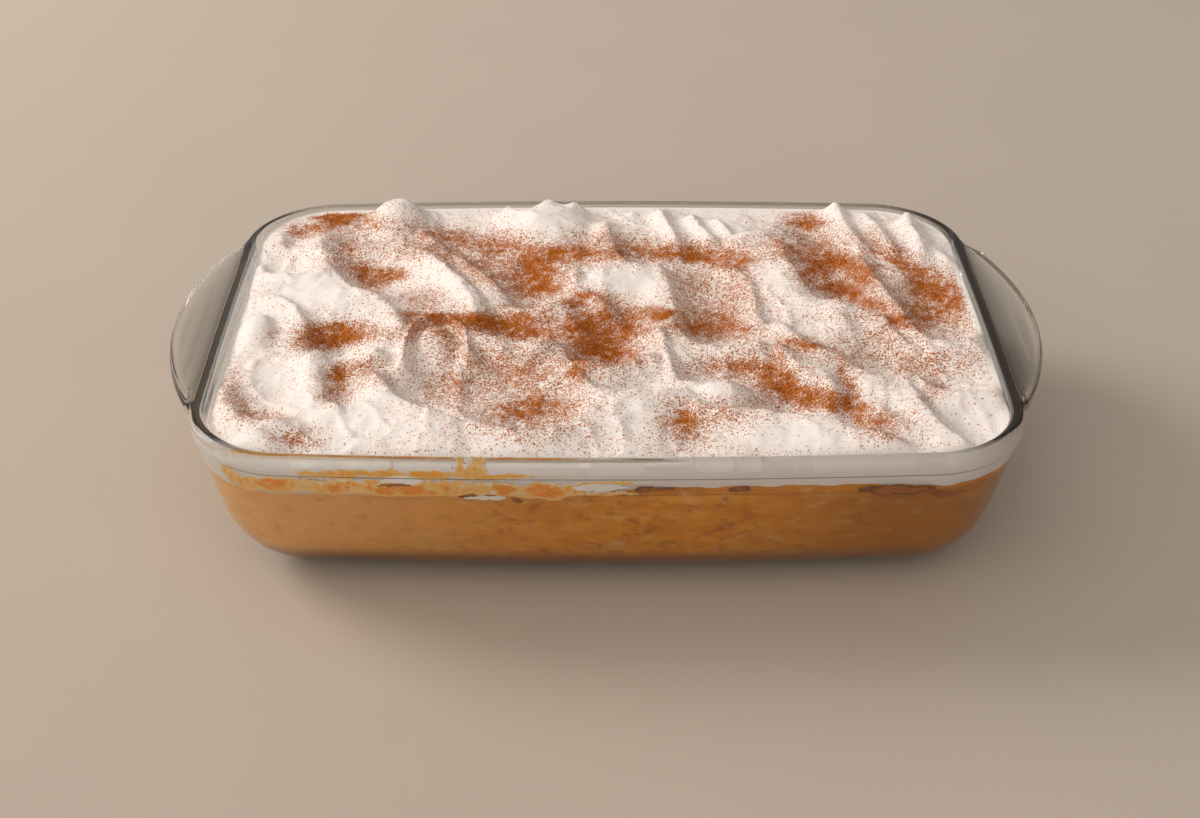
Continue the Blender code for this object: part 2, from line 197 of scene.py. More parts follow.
def blend_colours(tree, share, first, second):
    """The first colour where share is 0, the second where it is 1."""
    node = tree.nodes.new("ShaderNodeMix")
    node.data_type = "RGBA"
    for socket, value in zip((node.inputs[0], node.inputs[6], node.inputs[7]), (share, first, second)):
        if isinstance(value, bpy.types.NodeSocket):
            tree.links.new(value, socket)
        elif isinstance(value, (int, float)):
            socket.default_value = value
        else:
            socket.default_value = (*value, 1.0)
    return node.outputs[2]


def add_bump(tree, shader, height, strength, distance):
    """Relief in the shading alone, from a pattern and its depth in metres."""
    bump = add_node(tree, "ShaderNodeBump", Height=height, Strength=strength, Distance=distance)
    tree.links.new(bump.outputs["Normal"], shader.inputs["Normal"])


def set_values(shader, **values):
    """Values and links for the shader's own inputs."""
    for name, value in values.items():
        socket = shader.inputs[name.replace("_", " ")]
        if isinstance(value, bpy.types.NodeSocket):
            shader.id_data.links.new(value, socket)
        else:
            socket.default_value = value


print("colour helpers ready")

# %% [markdown]
# ## The floor
#
# The dish stands on a plain pale surface, a little warm, which also shows through the handles.

# %% The floor
FLOOR_SIZE = 6.0
FLOOR_COLOUR = (0.50, 0.43, 0.36)
FLOOR_LIGHTER = 1.06

bpy.ops.object.select_all(action="DESELECT")
bpy.ops.mesh.primitive_plane_add(size=FLOOR_SIZE)
floor = bpy.context.object
floor.name = "floor"
floor_mat, tree, shader = new_material("pale_floor")
floor_cloud = noise(tree, places(tree), 9.0, 4.0)
floor_light = [FLOOR_LIGHTER * c for c in FLOOR_COLOUR]
set_values(shader, Roughness=0.7, Base_Color=blend_colours(tree, floor_cloud, FLOOR_COLOUR, floor_light))
floor.data.materials.append(floor_mat)
print("floor, m:", FLOOR_SIZE)

# %% [markdown]
# ## The light
#
# Most of the light in the photograph comes softly from all round, but more from the left and from
# behind the camera than from the right, so the right handle looks into shade. A world whose
# brightness changes slowly with direction gives that without hard spots in the glass. One broad,
# warm light from the left and a little behind gives the cream its form. It isn't mirrored in the
# glass, because the photograph shows no hard highlight there.

# %% The light
KEY_PLACE = Vector((-1.75, 0.75, 1.15))
KEY_GOAL = Vector((0.0, 0.0, 0.05))
KEY_SIZE = 1.1
KEY_POWER = 32.0
KEY_COLOUR = (1.0, 0.945, 0.89)
DIM_SIDE = 0.10
BRIGHT_SIDE = 0.54
TO_BRIGHT_SIDE = (-0.78, -0.10, 0.62)
FRONT_GLOW = 1.22
TO_FRONT = (-0.25, -0.95, 0.20)
WARM_SKY = (1.0, 0.965, 0.93)
SHADE_SKY = (1.0, 0.84, 0.70)
FRONT_SKY = (1.0, 0.93, 0.86)

bpy.ops.object.light_add(type="AREA", location=KEY_PLACE)
key = bpy.context.object
key.name = "window_light"
key.data.shape = "DISK"
key.data.size = KEY_SIZE
key.data.energy = KEY_POWER
key.data.color = KEY_COLOUR
key.rotation_euler = (KEY_GOAL - KEY_PLACE).to_track_quat("-Z", "Y").to_euler()
key.visible_glossy = False

world = bpy.data.worlds.new("soft_room")
bpy.context.scene.world = world
world.use_nodes = True
tree = world.node_tree
direction = add_node(tree, "ShaderNodeTexCoord").outputs["Generated"]


def toward(tree, direction, goal):
    """1 straight towards the goal, -1 straight away from it."""
    node = add_node(tree, "ShaderNodeVectorMath", {"operation": "DOT_PRODUCT"})
    tree.links.new(direction, node.inputs[0])
    node.inputs[1].default_value = Vector(goal).normalized()
    return node.outputs["Value"]


side = remap(tree, toward(tree, direction, TO_BRIGHT_SIDE), -1.0, 1.0, smooth=False)
strength = remap(tree, side, 0.0, 1.0, DIM_SIDE, BRIGHT_SIDE, smooth=False)
front = math_node(tree, "MAXIMUM", toward(tree, direction, TO_FRONT), 0.0)
glow = math_node(tree, "MULTIPLY", math_node(tree, "POWER", front, 2.0), FRONT_GLOW)
sky = tree.nodes["Background"]
colour = blend_colours(tree, side, SHADE_SKY, WARM_SKY)
tree.links.new(blend_colours(tree, front, colour, FRONT_SKY), sky.inputs["Color"])
tree.links.new(math_node(tree, "ADD", strength, glow), sky.inputs["Strength"])
bpy.context.scene.view_settings.view_transform = "Standard"
print("one area light, one soft world")

# %% [markdown]
# ## The dish's outline
#
# Seen from above, the rim is a rectangle with round corners whose four sides bow outwards a little.
# The same rule gives every level of the dish: at a distance inside or outside the rim line, with
# the corners a touch rounder towards the foot. Going round it in numbered steps makes rings that
# can be bridged to each other, one step to the same step.

# %% The dish's outline
CORNER_STEPS = 20
LONG_SIDE_STEPS = 100
SHORT_SIDE_STEPS = 36


def outline(offset, lower=0.0):
    """Points round the dish at a distance outside the rim line. Lower is 0 at the rim, 1 at the base."""
    half_x = RIM_HALF_LENGTH + offset
    half_y = RIM_HALF_WIDTH + offset
    radius = max(RIM_CORNER_RADIUS + offset + LOWER_CORNER_EXTRA * lower, SMALLEST_CORNER)
    points = []
    for quarter, (sign_x, sign_y) in enumerate(((1, 1), (-1, 1), (-1, -1), (1, -1))):
        for k in range(CORNER_STEPS + 1):
            angle = (quarter + k / CORNER_STEPS) * math.pi / 2
            points.append((sign_x * (half_x - radius) + radius * math.cos(angle),
                           sign_y * (half_y - radius) + radius * math.sin(angle)))
        x, y = points[-1]
        steps = SHORT_SIDE_STEPS if quarter % 2 else LONG_SIDE_STEPS
        for k in range(1, steps):
            share = 1 - 2 * k / steps
            points.append((x, y * share) if quarter % 2 else (x * share, y))
    bowed = []
    for x, y in points:
        bowed.append((x + BOW_OF_SHORT_SIDES * (1.0 - (y / half_y) ** 2) * x / half_x,
                      y + BOW_OF_LONG_SIDES * (1.0 - (x / half_x) ** 2) * y / half_y))
    return bowed


def ring_at(offset, z, lower=0.0):
    """The outline at one height."""
    return [(x, y, z) for x, y in outline(offset, lower)]


def wall_offset(z, inner):
    """Offset of the outer or inner face of the sloping wall at a height."""
    top = LIP_RADIUS - STEP_UNDER_RIM - (WALL_THICKNESS if inner else 0.0)
    return top - WALL_TAPER * (WALL_TOP - z) / WALL_TOP


AROUND = len(outline(0.0))
print("steps round the dish:", AROUND)

# %% [markdown]
# ## Growing a shape ring by ring
#
# A dish is a plate that is drawn up, over and down again. In Blender that is a filled circle whose
# edge is extruded over and over. Each new ring is then put in its place by the outline's rule. The
# circle's corners carry a number, which extruding copies, so each corner knows its own step.

# %% Growing a shape ring by ring
def start_ring(name, points):
    """A filled circle in edit mode, its corners numbered and moved to their places."""
    bpy.ops.object.select_all(action="DESELECT")
    bpy.ops.mesh.primitive_circle_add(vertices=len(points), fill_type="NGON")
    piece = bpy.context.object
    piece.name = name
    piece.data.name = name
    bpy.ops.object.mode_set(mode="EDIT")
    bpy.ops.mesh.select_mode(type="EDGE")
    bpy.ops.mesh.select_all(action="SELECT")
    bm = bmesh.from_edit_mesh(piece.data)
    number = bm.verts.layers.int.new("step")
    for v in bm.verts:
        v[number] = v.index
    place_ring(piece, points)
    return piece


def place_ring(piece, points, painted_shades=None):
    """The selected ring's corners go to their places, and take their painted shade if the piece has any.
    """
    bm = bmesh.from_edit_mesh(piece.data)
    number = bm.verts.layers.int["step"]
    painted_shade = bm.verts.layers.float.get("painted_shade")
    for v in bm.verts:
        if v.select:
            v.co = points[v[number]]
            if painted_shade:
                v[painted_shade] = painted_shades[v[number]] if painted_shades else 0.0
    bmesh.update_edit_mesh(piece.data)


def next_ring(piece, points, painted_shades=None):
    """The edge is extruded, and the new ring goes to its places."""
    bpy.ops.mesh.extrude_edges_move()
    place_ring(piece, points, painted_shades)


def close_shape(piece):
    """A face over the last ring, all faces outwards, and back to object mode."""
    bpy.ops.mesh.edge_face_add()
    bpy.ops.mesh.select_all(action="SELECT")
    bpy.ops.mesh.normals_make_consistent(inside=False)
    bpy.ops.object.mode_set(mode="OBJECT")
    piece.data.attributes.remove(piece.data.attributes["step"])
    bpy.ops.object.shade_smooth()


def hand_in(piece, node):
    """The piece rides on the part's one body and stands for its solid."""
    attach(piece, "root")
    if node:
        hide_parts(node)
    print(piece.name, "faces:", len(piece.data.polygons))


# %% [markdown]
# ## Foot, wall and rim
#
# Pressed glass has no sharp edge: the wall runs into the base in a large curve, and the rim is a
# rounded lip that stands a hair proud of the wall. The thin dark line below it is painted shade. The
# foot's curve is worked out once for the outside and once, with the glass's thickness taken off, for
# the inside.

# %% Foot, wall and rim
FILLET_STEPS = 12
# Rings of the lip, in degrees from its outer side, that carry a painted shade line on each side of the
# dish
DARK_LINE = (118, 121)
DARK_LINE_LEFT = (67, 75, 77, 83, 90, 100, 110)
DARK_LINE_RIGHT = (75, 77, 83, 90, 100, 110, 116, 118, 121)
# Share of a corner over which the line of a long side turns into the line of an end
DARK_LINE_TURN = 0.7


def fillet_rings(floor_z, radius, inner, grow):
    """Rings of the rounded edge between a floor and the wall, from the floor up."""
    slope = math.atan2(WALL_TAPER, WALL_TOP)
    tangent = radius * math.tan((math.pi / 2 - slope) / 2)
    centre_offset = wall_offset(floor_z, inner) - tangent
    rings = []
    for k in range(FILLET_STEPS + 1):
        angle = (math.pi / 2 - slope) * k / FILLET_STEPS
        offset = centre_offset + (radius + grow) * math.sin(angle)
        z = floor_z + radius - (radius + grow) * math.cos(angle)
        rings.append(ring_at(offset, z, 1.0 - max(z, 0.0) / WALL_TOP))
    return rings


def lip_point(angle):
    """Offset and height on the rounded lip; 0 degrees is its outer side, 90 its top."""
    a = math.radians(angle)
    return LIP_RADIUS * math.cos(a), RIM_HEIGHT - LIP_RADIUS + LIP_RADIUS * math.sin(a)


def handle_reach(y):
    """How far a handle stands out from the rim at a place across the dish."""
    reach = HANDLE_OVERHANG * (1.0 - (y / HANDLE_HALF_SPAN) ** 2)
    start = HANDLE_HALF_SPAN - 2 * HANDLE_FADE
    share = min(max((abs(y) - start) / (4 * HANDLE_FADE), 0.0), 1.0)
    fade = 1.0 - share * share * (3.0 - 2.0 * share)
    return 0.5 * (reach + math.sqrt(reach * reach + HANDLE_FADE ** 2)) * fade


def rim_ring(plain, handle, share):
    """A ring of the rim: (offset, height) on the plain sides and on the handles, where it also
    stands out by a share of the handle's reach."""
    points = []
    for (x, y), (hx, hy) in zip(outline(plain[0]), outline(handle[0])):
        reach = handle_reach(y) if abs(x) > RIM_HALF_LENGTH - RIM_CORNER_RADIUS else 0.0
        mix = min(reach / (2 * LIP_RADIUS), 1.0)
        points.append((x + (hx - x) * mix + math.copysign(share * reach, x),
                       y + (hy - y) * mix,
                       plain[1] + (handle[1] - plain[1]) * mix))
    return points


def lip_painted_shade(angle):
    """How much painted shade each corner of a ring on the lip takes, by the side of the dish it is on.
    """
    start = RIM_HALF_LENGTH - RIM_CORNER_RADIUS
    painted_shades = []
    for x, _ in outline(0.0):
        on_end = min(max((abs(x) - start) / (DARK_LINE_TURN * RIM_CORNER_RADIUS), 0.0), 1.0)
        end_angles = DARK_LINE_LEFT if x < 0 else DARK_LINE_RIGHT
        painted_shades.append(on_end * (angle in end_angles) + (1.0 - on_end) * (angle in DARK_LINE))
    return painted_shades


print("lip from", lip_point(0), "to", lip_point(180))

# %% [markdown]
# ## The dish, drawn up in one go
#
# From the foot the rings go up the outside, out under the handles, round the handles' edge with its
# raised border, back over the plate, up the slope to the lip, over the lip and down the inside. On
# the long sides the same rings simply lie close together on the lip. A few rings on the lip and three
# at the step below it carry painted shade: a dark line painted into the glass's colour, which is thin
# along the long sides and broader at the two ends.

# %% The dish, drawn up in one go
EDGE_STEPS = 6
SHARPEST_SMOOTH_TURN = math.radians(38)
# Painted shade at the step under the rim: how far its three rings are darkened
STEP_PAINTED_SHADE = 0.9
STEP_LINE_WIDTH = 0.0003
STEP_ROUND = 0.0003
# Angle on the plain lip, border widths inwards on the handle, and whether that is on the border
PLATE_RINGS = ((0, 0.6, True), (8, 1.0, False), (16, 1.6, False))
SLOPE_FOOT_OUT = 0.0008
SLOPE_FOOT_RISE = 0.0002
SLOPE_HEAD_ANGLE = 54
SLOPE_HEAD_OUT = 0.0006
SLOPE_HEAD_DROP = 0.0004
LIP_ANGLES = (62, 65, 67, 75, 77, 83, 90, 100, 110, 116, 118, 121, 123, 132, 146, 160, 170, 180)
# Inside, the upright lip bends into the sloping wall: offset and height from the wall's top
INNER_BEND = ((0.0, 0.0010), (-0.0002, -0.0008))

edge_middle = 0.5 * (HANDLE_UNDERSIDE + HANDLE_TOP + HANDLE_BORDER_RISE)
edge_half = 0.5 * (HANDLE_TOP + HANDLE_BORDER_RISE - HANDLE_UNDERSIDE)
foot = fillet_rings(0.0, BASE_FILLET, False, 0.0)
dish = start_ring("dish", foot[0])
bmesh.from_edit_mesh(dish.data).verts.layers.float.new("painted_shade")
for ring in foot[1:]:
    next_ring(dish, ring)
step_painted_shade = [STEP_PAINTED_SHADE] * AROUND
for lines_below, painted_shades in ((2, None), (1, step_painted_shade), (0, step_painted_shade)):
    z = WALL_TOP - lines_below * STEP_LINE_WIDTH
    next_ring(dish, ring_at(wall_offset(z, False), z), painted_shades)
step_top = WALL_TOP + STEP_HEIGHT
next_ring(dish, rim_ring((LIP_RADIUS - STEP_ROUND, step_top), (LIP_RADIUS, step_top), 0.0), step_painted_shade)
for k in range(EDGE_STEPS + 1):
    angle = math.pi * (k / EDGE_STEPS - 0.5)
    plain_z = step_top + STEP_ROUND + (lip_point(0)[1] - step_top - 2 * STEP_ROUND) * k / EDGE_STEPS
    handle_edge = (LIP_RADIUS + HANDLE_EDGE_ROUND * math.cos(angle),
                   edge_middle + edge_half * math.sin(angle))
    next_ring(dish, rim_ring((LIP_RADIUS, plain_z), handle_edge, 1.0))
for angle, widths_in, on_border in PLATE_RINGS:
    plate = (LIP_RADIUS - widths_in * HANDLE_BORDER_WIDTH, HANDLE_TOP + HANDLE_BORDER_RISE * on_border)
    next_ring(dish, rim_ring(lip_point(angle), plate, 1.0))
head_offset, head_z = lip_point(SLOPE_HEAD_ANGLE)
for angle, on_slope in ((26, (LIP_SLOPE + SLOPE_FOOT_OUT, HANDLE_TOP)),
                        (36, (LIP_SLOPE, HANDLE_TOP + SLOPE_FOOT_RISE)),
                        (50, (head_offset + SLOPE_HEAD_OUT, head_z - SLOPE_HEAD_DROP))):
    next_ring(dish, rim_ring(lip_point(angle), on_slope, 0.0))
for angle in LIP_ANGLES:
    next_ring(dish, rim_ring(lip_point(angle), lip_point(angle), 0.0), lip_painted_shade(angle))
for offset, rise in INNER_BEND:
    next_ring(dish, ring_at(wall_offset(WALL_TOP, True) + offset, WALL_TOP + rise))
for ring in fillet_rings(BASE_THICKNESS, BASE_FILLET - WALL_THICKNESS, True, 0.0)[::-1]:
    next_ring(dish, ring)
close_shape(dish)
bpy.ops.object.shade_smooth_by_angle(angle=SHARPEST_SMOOTH_TURN)
print("dish corners:", len(dish.data.vertices))

# %% [markdown]
# ## Clear glass
#
# Soda-lime glass bends light by about 1.5 and is faintly green where the light travels a long way
# through it, as in the handles' edges. Pressing leaves it a little wavy, so a very low, broad bump
# breaks up the reflections. The painted shade on the rings darkens the glass along its lines.

# %% Clear glass
GLASS_COLOUR = (0.955, 0.975, 0.965)
# Colour of the painted shade lines on the lip and at the step
PAINTED_SHADE_COLOUR = (0.015, 0.028, 0.045)

glass, tree, shader = new_material("clear_glass")
painted_shade = add_node(tree, "ShaderNodeAttribute", {"attribute_name": "painted_shade"}).outputs["Fac"]
colour = blend_colours(tree, painted_shade, GLASS_COLOUR, PAINTED_SHADE_COLOUR)
set_values(shader, Base_Color=colour, Roughness=0.015, IOR=1.5, Transmission_Weight=1.0)
wave = noise(tree, places(tree), 55.0, 1.0)
add_bump(tree, shader, wave, 0.12, 0.0008)
dish.data.materials.append(glass)
hand_in(dish, "glass_dish")

# %% [markdown]
# ## The soaked sponge
#
# The sponge fills the dish from its base to the cream. Wet cake clings to the glass, and an air gap
# would show as a silvery skin, so its sides and underside reach a third of a millimetre into the
# glass. The cake rose unevenly, so its top edge wanders: it stands highest right of the middle.

# %% The soaked sponge
CREAM_LINE = 0.0533
CREAM_LINE_RISE = 0.0012
SPONGE_PRESS = 0.00033
LOW_ON_WALL = 0.03
SIDE_LEVELS = (0.036, 0.042)
TOP_EDGE_HEIGHT = 0.0008
TOP_EDGE_DRAWN_IN = 0.0003
# The top edge's small waves: half height in millimetres, length over 2 pi in metres, and start
SPONGE_WAVES = ((0.35, 0.0034, 0.0), (0.25, 0.0017, 1.0))
# Places along the dish, and the height of the sponge's top edge there, in millimetres
SPONGE_TOP = ((-150, 51.9), (-60, 51.6), (-48, 50.9), (-8, 51.0), (12, 54.7), (60, 55.2), (100, 55.0),
              (113, 53.6), (128, 53.3), (150, 54.4))


def cream_line(x):
    """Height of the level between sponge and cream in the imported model."""
    return CREAM_LINE + CREAM_LINE_RISE * x / RIM_HALF_LENGTH


def sponge_top(x):
    """Height of the sponge's top edge at a place along the dish, in metres."""
    along, heights = zip(*SPONGE_TOP)
    waves = sum(half * np.sin(x / length + start) for half, length, start in SPONGE_WAVES)
    return (np.interp(x / MM, along, heights) + waves) * MM


def wall_ring(level, press):
    """A ring on the inner wall, pressed into the glass, at a height given for each place."""
    low = ring_at(wall_offset(LOW_ON_WALL, True) + press, LOW_ON_WALL, 1.0 - LOW_ON_WALL / WALL_TOP)
    high = ring_at(wall_offset(WALL_TOP, True) + press, WALL_TOP)
    points = []
    for (x0, y0, z0), (x1, y1, z1) in zip(low, high):
        z = level(x1)
        share = (z - z0) / (z1 - z0)
        points.append((x0 + (x1 - x0) * share, y0 + (y1 - y0) * share, z))
    return points


inside_foot = fillet_rings(BASE_THICKNESS, BASE_FILLET - WALL_THICKNESS, True, SPONGE_PRESS)
sponge = start_ring("sponge", inside_foot[0])
for ring in inside_foot[1:]:
    next_ring(sponge, ring)
for height in SIDE_LEVELS:
    next_ring(sponge, wall_ring(lambda x, z=height: z, SPONGE_PRESS))
next_ring(sponge, wall_ring(lambda x: sponge_top(x) - TOP_EDGE_HEIGHT, SPONGE_PRESS))
next_ring(sponge, wall_ring(sponge_top, SPONGE_PRESS - TOP_EDGE_DRAWN_IN))
close_shape(sponge)
print("top edge from", SPONGE_TOP[0], "to", SPONGE_TOP[-1])

# %% [markdown]
# ## Wet crumb
#
# Through the glass the sponge is an orange tan, mottled where more or less milk has soaked in, with
# streaks that lie flat because the crumb is layered. It is painted paler on the left and darker on
# the right: painted light and shade, as the light falls from the left.
# A line runs round it at one height, with a deeper tone above it.

# %% Wet crumb
CRUMB_DEEP = (0.77, 0.275, 0.011)
CRUMB_LIGHT = (0.90, 0.40, 0.030)
# The paler crumb on the left is painted light, the darker crumb on the right painted shade
CRUMB_PAINTED_LIGHT = (0.96, 0.50, 0.15)
CRUMB_PAINTED_SHADE = (0.52, 0.185, 0.010)
BAND_FOOT = 0.0504
BAND_COLOUR = (0.72, 0.25, 0.005)
BAND_LINE_COLOUR = (0.45, 0.12, 0.002)

sponge_mat, tree, shader = new_material("soaked_sponge")
where = places(tree)
streaked = add_node(tree, "ShaderNodeMapping", Vector=where, Scale=(1.0, 1.0, 2.6)).outputs["Vector"]
axes = add_node(tree, "ShaderNodeSeparateXYZ", Vector=where)
mottle = remap(tree, noise(tree, streaked, 85.0, 5.0, 0.62), 0.34, 0.68)
colour = blend_colours(tree, mottle, CRUMB_DEEP, CRUMB_LIGHT)
# Painted light towards the left, and painted shade towards the right
painted_light_left = remap(tree, axes.outputs["X"], 0.01, -0.13)
colour = blend_colours(tree, painted_light_left, colour, CRUMB_PAINTED_LIGHT)
painted_shade_right = remap(tree, axes.outputs["X"], 0.03, 0.12)
colour = blend_colours(tree, painted_shade_right, colour, CRUMB_PAINTED_SHADE)
height = math_node(tree, "ADD", axes.outputs["Z"],
                   remap(tree, noise(tree, where, 60.0, 2.0), 0.3, 0.7, -0.0003, 0.0003))
band = remap(tree, height, BAND_FOOT - 0.0005, BAND_FOOT + 0.0003, 0.0, 0.8)
colour = blend_colours(tree, band, colour, BAND_COLOUR)
band_line = math_node(tree, "MULTIPLY", remap(tree, height, BAND_FOOT - 0.0004, BAND_FOOT, 0.0, 0.75),
                      remap(tree, height, BAND_FOOT + 0.0006, BAND_FOOT + 0.0001))
colour = blend_colours(tree, band_line, colour, BAND_LINE_COLOUR)
print("line round the sponge, mm:", BAND_FOOT / MM)

# %% [markdown]
# ### Spots, flecks and the soaked foot
#
# Closer to, the crumb has pale spots where air was trapped, paler flecks, and dark spots where milk
# has filled it. Each is a noise of its own size, cut off low down so that only its peaks show. The
# foot of the cake is soaked through, and it is darker still at the very bottom.

# %% Spots, flecks and the soaked foot
PALE_SPOT = (0.93, 0.60, 0.24)
FLECK = (0.85, 0.60, 0.34)
DARK_SPOT = (0.44, 0.12, 0.003)
SOAKED_FOOT = (0.35, 0.115, 0.002)
DARKEST_AT_BOTTOM = (0.06, 0.036, 0.002)

flattened = add_node(tree, "ShaderNodeMapping", Vector=where, Scale=(1.0, 1.0, 1.6)).outputs["Vector"]
pale_spots = remap(tree, noise(tree, flattened, 120.0, 3.0, 0.6), 0.50, 0.76, 0.0, 0.5)
# Pale spots thin out under the painted shade on the right, dark spots under the painted light on the
# left
pale_spots = math_node(tree, "MULTIPLY", pale_spots, remap(tree, painted_shade_right, 0.0, 1.0, 1.0, 0.4))
colour = blend_colours(tree, pale_spots, colour, PALE_SPOT)
flecks = remap(tree, noise(tree, flattened, 240.0, 3.0, 0.6), 0.60, 0.84, 0.0, 0.22)
colour = blend_colours(tree, flecks, colour, FLECK)
dark_spots = remap(tree, noise(tree, flattened, 135.0, 3.0, 0.6), 0.50, 0.78, 0.0, 0.8)
dark_spots = math_node(tree, "MULTIPLY", dark_spots, remap(tree, painted_light_left, 0.0, 1.0, 1.0, 0.35))
colour = blend_colours(tree, dark_spots, colour, DARK_SPOT)
soaked = remap(tree, axes.outputs["Z"], 0.022, 0.013)
colour = blend_colours(tree, soaked, colour, SOAKED_FOOT)
# Darkest at the very bottom of the sponge
darkest_bottom = remap(tree, axes.outputs["Z"], 0.0120, 0.0080)
colour = blend_colours(tree, darkest_bottom, colour, DARKEST_AT_BOTTOM)
set_values(shader, Base_Color=colour, Roughness=0.45, Subsurface_Weight=0.12, Subsurface_Scale=0.003)
crumb = noise(tree, streaked, 520.0, 4.0, 0.6)
add_bump(tree, shader, crumb, 0.15, 0.0006)
sponge.data.materials.append(sponge_mat)
hand_in(sponge, "sponge_cake")

# %% [markdown]
# ## How spooned cream is shaped
#
# A spoon pushes cream into crests and leaves hollows behind them. Each crest is a line through three
# places, with a gentle slope on one side and a steeper one on the other. Crests and rounded mounds
# are merged by taking the highest, with the valley between two of them softened. Hollows are then
# dug, steep on the near side and long on the far side, and the little peaks where the spoon pulled
# away are added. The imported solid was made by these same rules.

# %% How spooned cream is shaped
# Heights are in millimetres above the rim, places in millimetres from the middle of the dish,
# and turns in degrees anticlockwise. A hollow's far side points to +Y before it is turned.
CREAM_EDGE = -4.8
CREAM_EDGE_TILT = 2.0
CREAM_EDGE_BACK = -1.7
CREAM_EDGE_RISES = (35.0, 95.0)
CREAM_EDGE_REACH = 3.2
CREST_ROUND = 0.4
CREST_FALL = 1.3
CREST_SHARE = 0.52
SLOPE_FALL = 1.5
MOUND_FLATNESS = 1.35
HOLLOW_FLATNESS = 1.4
PEAK_FALL = 1.6
PEAK_ROUND = 0.25
THINNEST_CREAM = 1.6
CREAM_REST = -3.5
CREAM_SOFTNESS = 1.4
FOLD_STEPS = 8

# Crest lines of the folds: three places along each, rise, reach on its left, reach on its right
FOLDS = (
    ((-124, 68), (-117, 40), (-100, 15), 8.0, 16, 26),
    ((-100, 15), (-89, 4), (-82, -16), 7.0, 9, 18),
    ((-136, 14), (-124, -3), (-114, -34), 6.0, 7, 13),
    ((-114, -37), (-104, -30), (-90, -35), 8.0, 7, 12),
    ((-112, -44), (-107, -60), (-101, -74), 6.0, 7, 13),
    ((-146, -56), (-138, -78), (-122, -83), 5.5, 9, 10),
    ((-88, -54), (-77, -73), (-58, -85), 8.0, 9, 26),
    ((-50, -88), (-25, -93), (-6, -76), 7.0, 8, 14),
    ((-17, -29), (-10, -52), (-3, -64), 7.5, 6, 11),
    ((-11, -42), (2, -46), (15, -38), 8.5, 8, 15),
    ((-4, -64), (10, -67), (26, -65), 7.5, 8, 28),
    ((26, -67), (40, -76), (56, -79), 5.5, 6, 16),
    ((59, -80), (80, -87), (101, -99), 8.0, 8, 20),
    ((116, -47), (118, -74), (131, -99), 6.5, 9, 10),
    ((120, -49), (129, -62), (149, -63), 5.5, 8, 10),
    ((92, -35), (104, -49), (118, -47), 5.5, 7, 14),
    ((71, -12), (79, -27), (93, -37), 6.0, 8, 12),
    ((112, -6), (116, -17), (122, -25), 5.5, 6, 8),
    ((76, 54), (81, 28), (97, 3), 9.0, 8, 26),
    ((97, 3), (105, -2), (112, -6), 7.0, 7, 15),
    ((109, 50), (114, 22), (121, -5), 7.0, 7, 7),
    ((123, -7), (134, -22), (150, -15), 6.5, 7, 14),
    ((29, -12), (38, -26), (58, -28), 7.5, 9, 15),
    ((22, 37), (27, 15), (29, -12), 7.5, 9, 15),
    ((50, 42), (59, 28), (61, -5), 6.0, 7, 8),
    ((0, 35), (12, 37), (22, 35), 8.0, 7, 24),
    ((-14, 20), (-6, 15), (0, 6), 6.5, 6, 6),
    ((-38, 7), (-28, 4), (-18, 13), 7.5, 8, 13),
    ((-62, 52), (-52, 34), (-40, 14), 7.5, 9, 12),
    ((-78, 50), (-64, 30), (-52, -1), 8.0, 12, 9),
    ((-104, 62), (-82, 61), (-62, 52), 6.0, 11, 13),
    ((-60, -13), (-46, -24), (-34, -22), 7.5, 8, 13),
    ((-34, -22), (-28, -28), (-21, -23), 7.5, 7, 10),
    ((-79, -42), (-77, -16), (-68, -6), 8.4, 6, 4),
    ((-68, -6), (-59, -11), (-54, -36), 8.4, 6, 4),
    ((-24, -5), (-23, -12), (-22, -18), 4.0, 3, 3),
    ((-147, 46), (-136, 34), (-124, 46), 6.0, 7, 14),
    ((-141, 72), (-134, 56), (-124, 68), 5.0, 6, 7),
    ((60, 69), (72, 74), (82, 79), 7.0, 8, 16),
    ((25, 92), (28, 80), (31, 68), 6.5, 6, 6),
    ((39, 90), (42, 80), (46, 70), 6.0, 6, 6),
    ((50, 88), (53, 80), (55, 71), 5.0, 5, 5),
    ((0, 80), (4, 62), (8, 46), 7.5, 13, 10),
    ((104, 94), (107, 80), (110, 62), 6.0, 8, 8),
    ((116, 92), (121, 78), (124, 58), 5.5, 8, 8),
    ((134, 84), (136, 72), (137, 56), 6.5, 9, 7),
    ((138, 58), (144, 55), (151, 50), 4.0, 14, 7),
    ((22, -14), (23, -32), (26, -50), 7.0, 7, 7),
    ((25, -50), (34, -57), (47, -54), 6.0, 8, 9),
    ((-84, 88), (-80, 77), (-73, 66), 5.0, 7, 7),
    ((-30, 62), (-22, 66), (-12, 62), 4.0, 10, 12),
    ((68, -30), (74, -44), (86, -57), 6.5, 12, 7),
    ((-58, -30), (-57, -50), (-57, -70), 4.0, 8, 6),
)
print("crests:", len(FOLDS), "highest rise, mm:", max(fold[3] for fold in FOLDS))

# %% [markdown]
# ### Hollows, mounds and peaks
#
# The other marks of the spoon are round or oval, so each is a place with its sizes. A hollow is dug
# after the crests are laid, a mound is merged with them, and a peak is set on top of all.

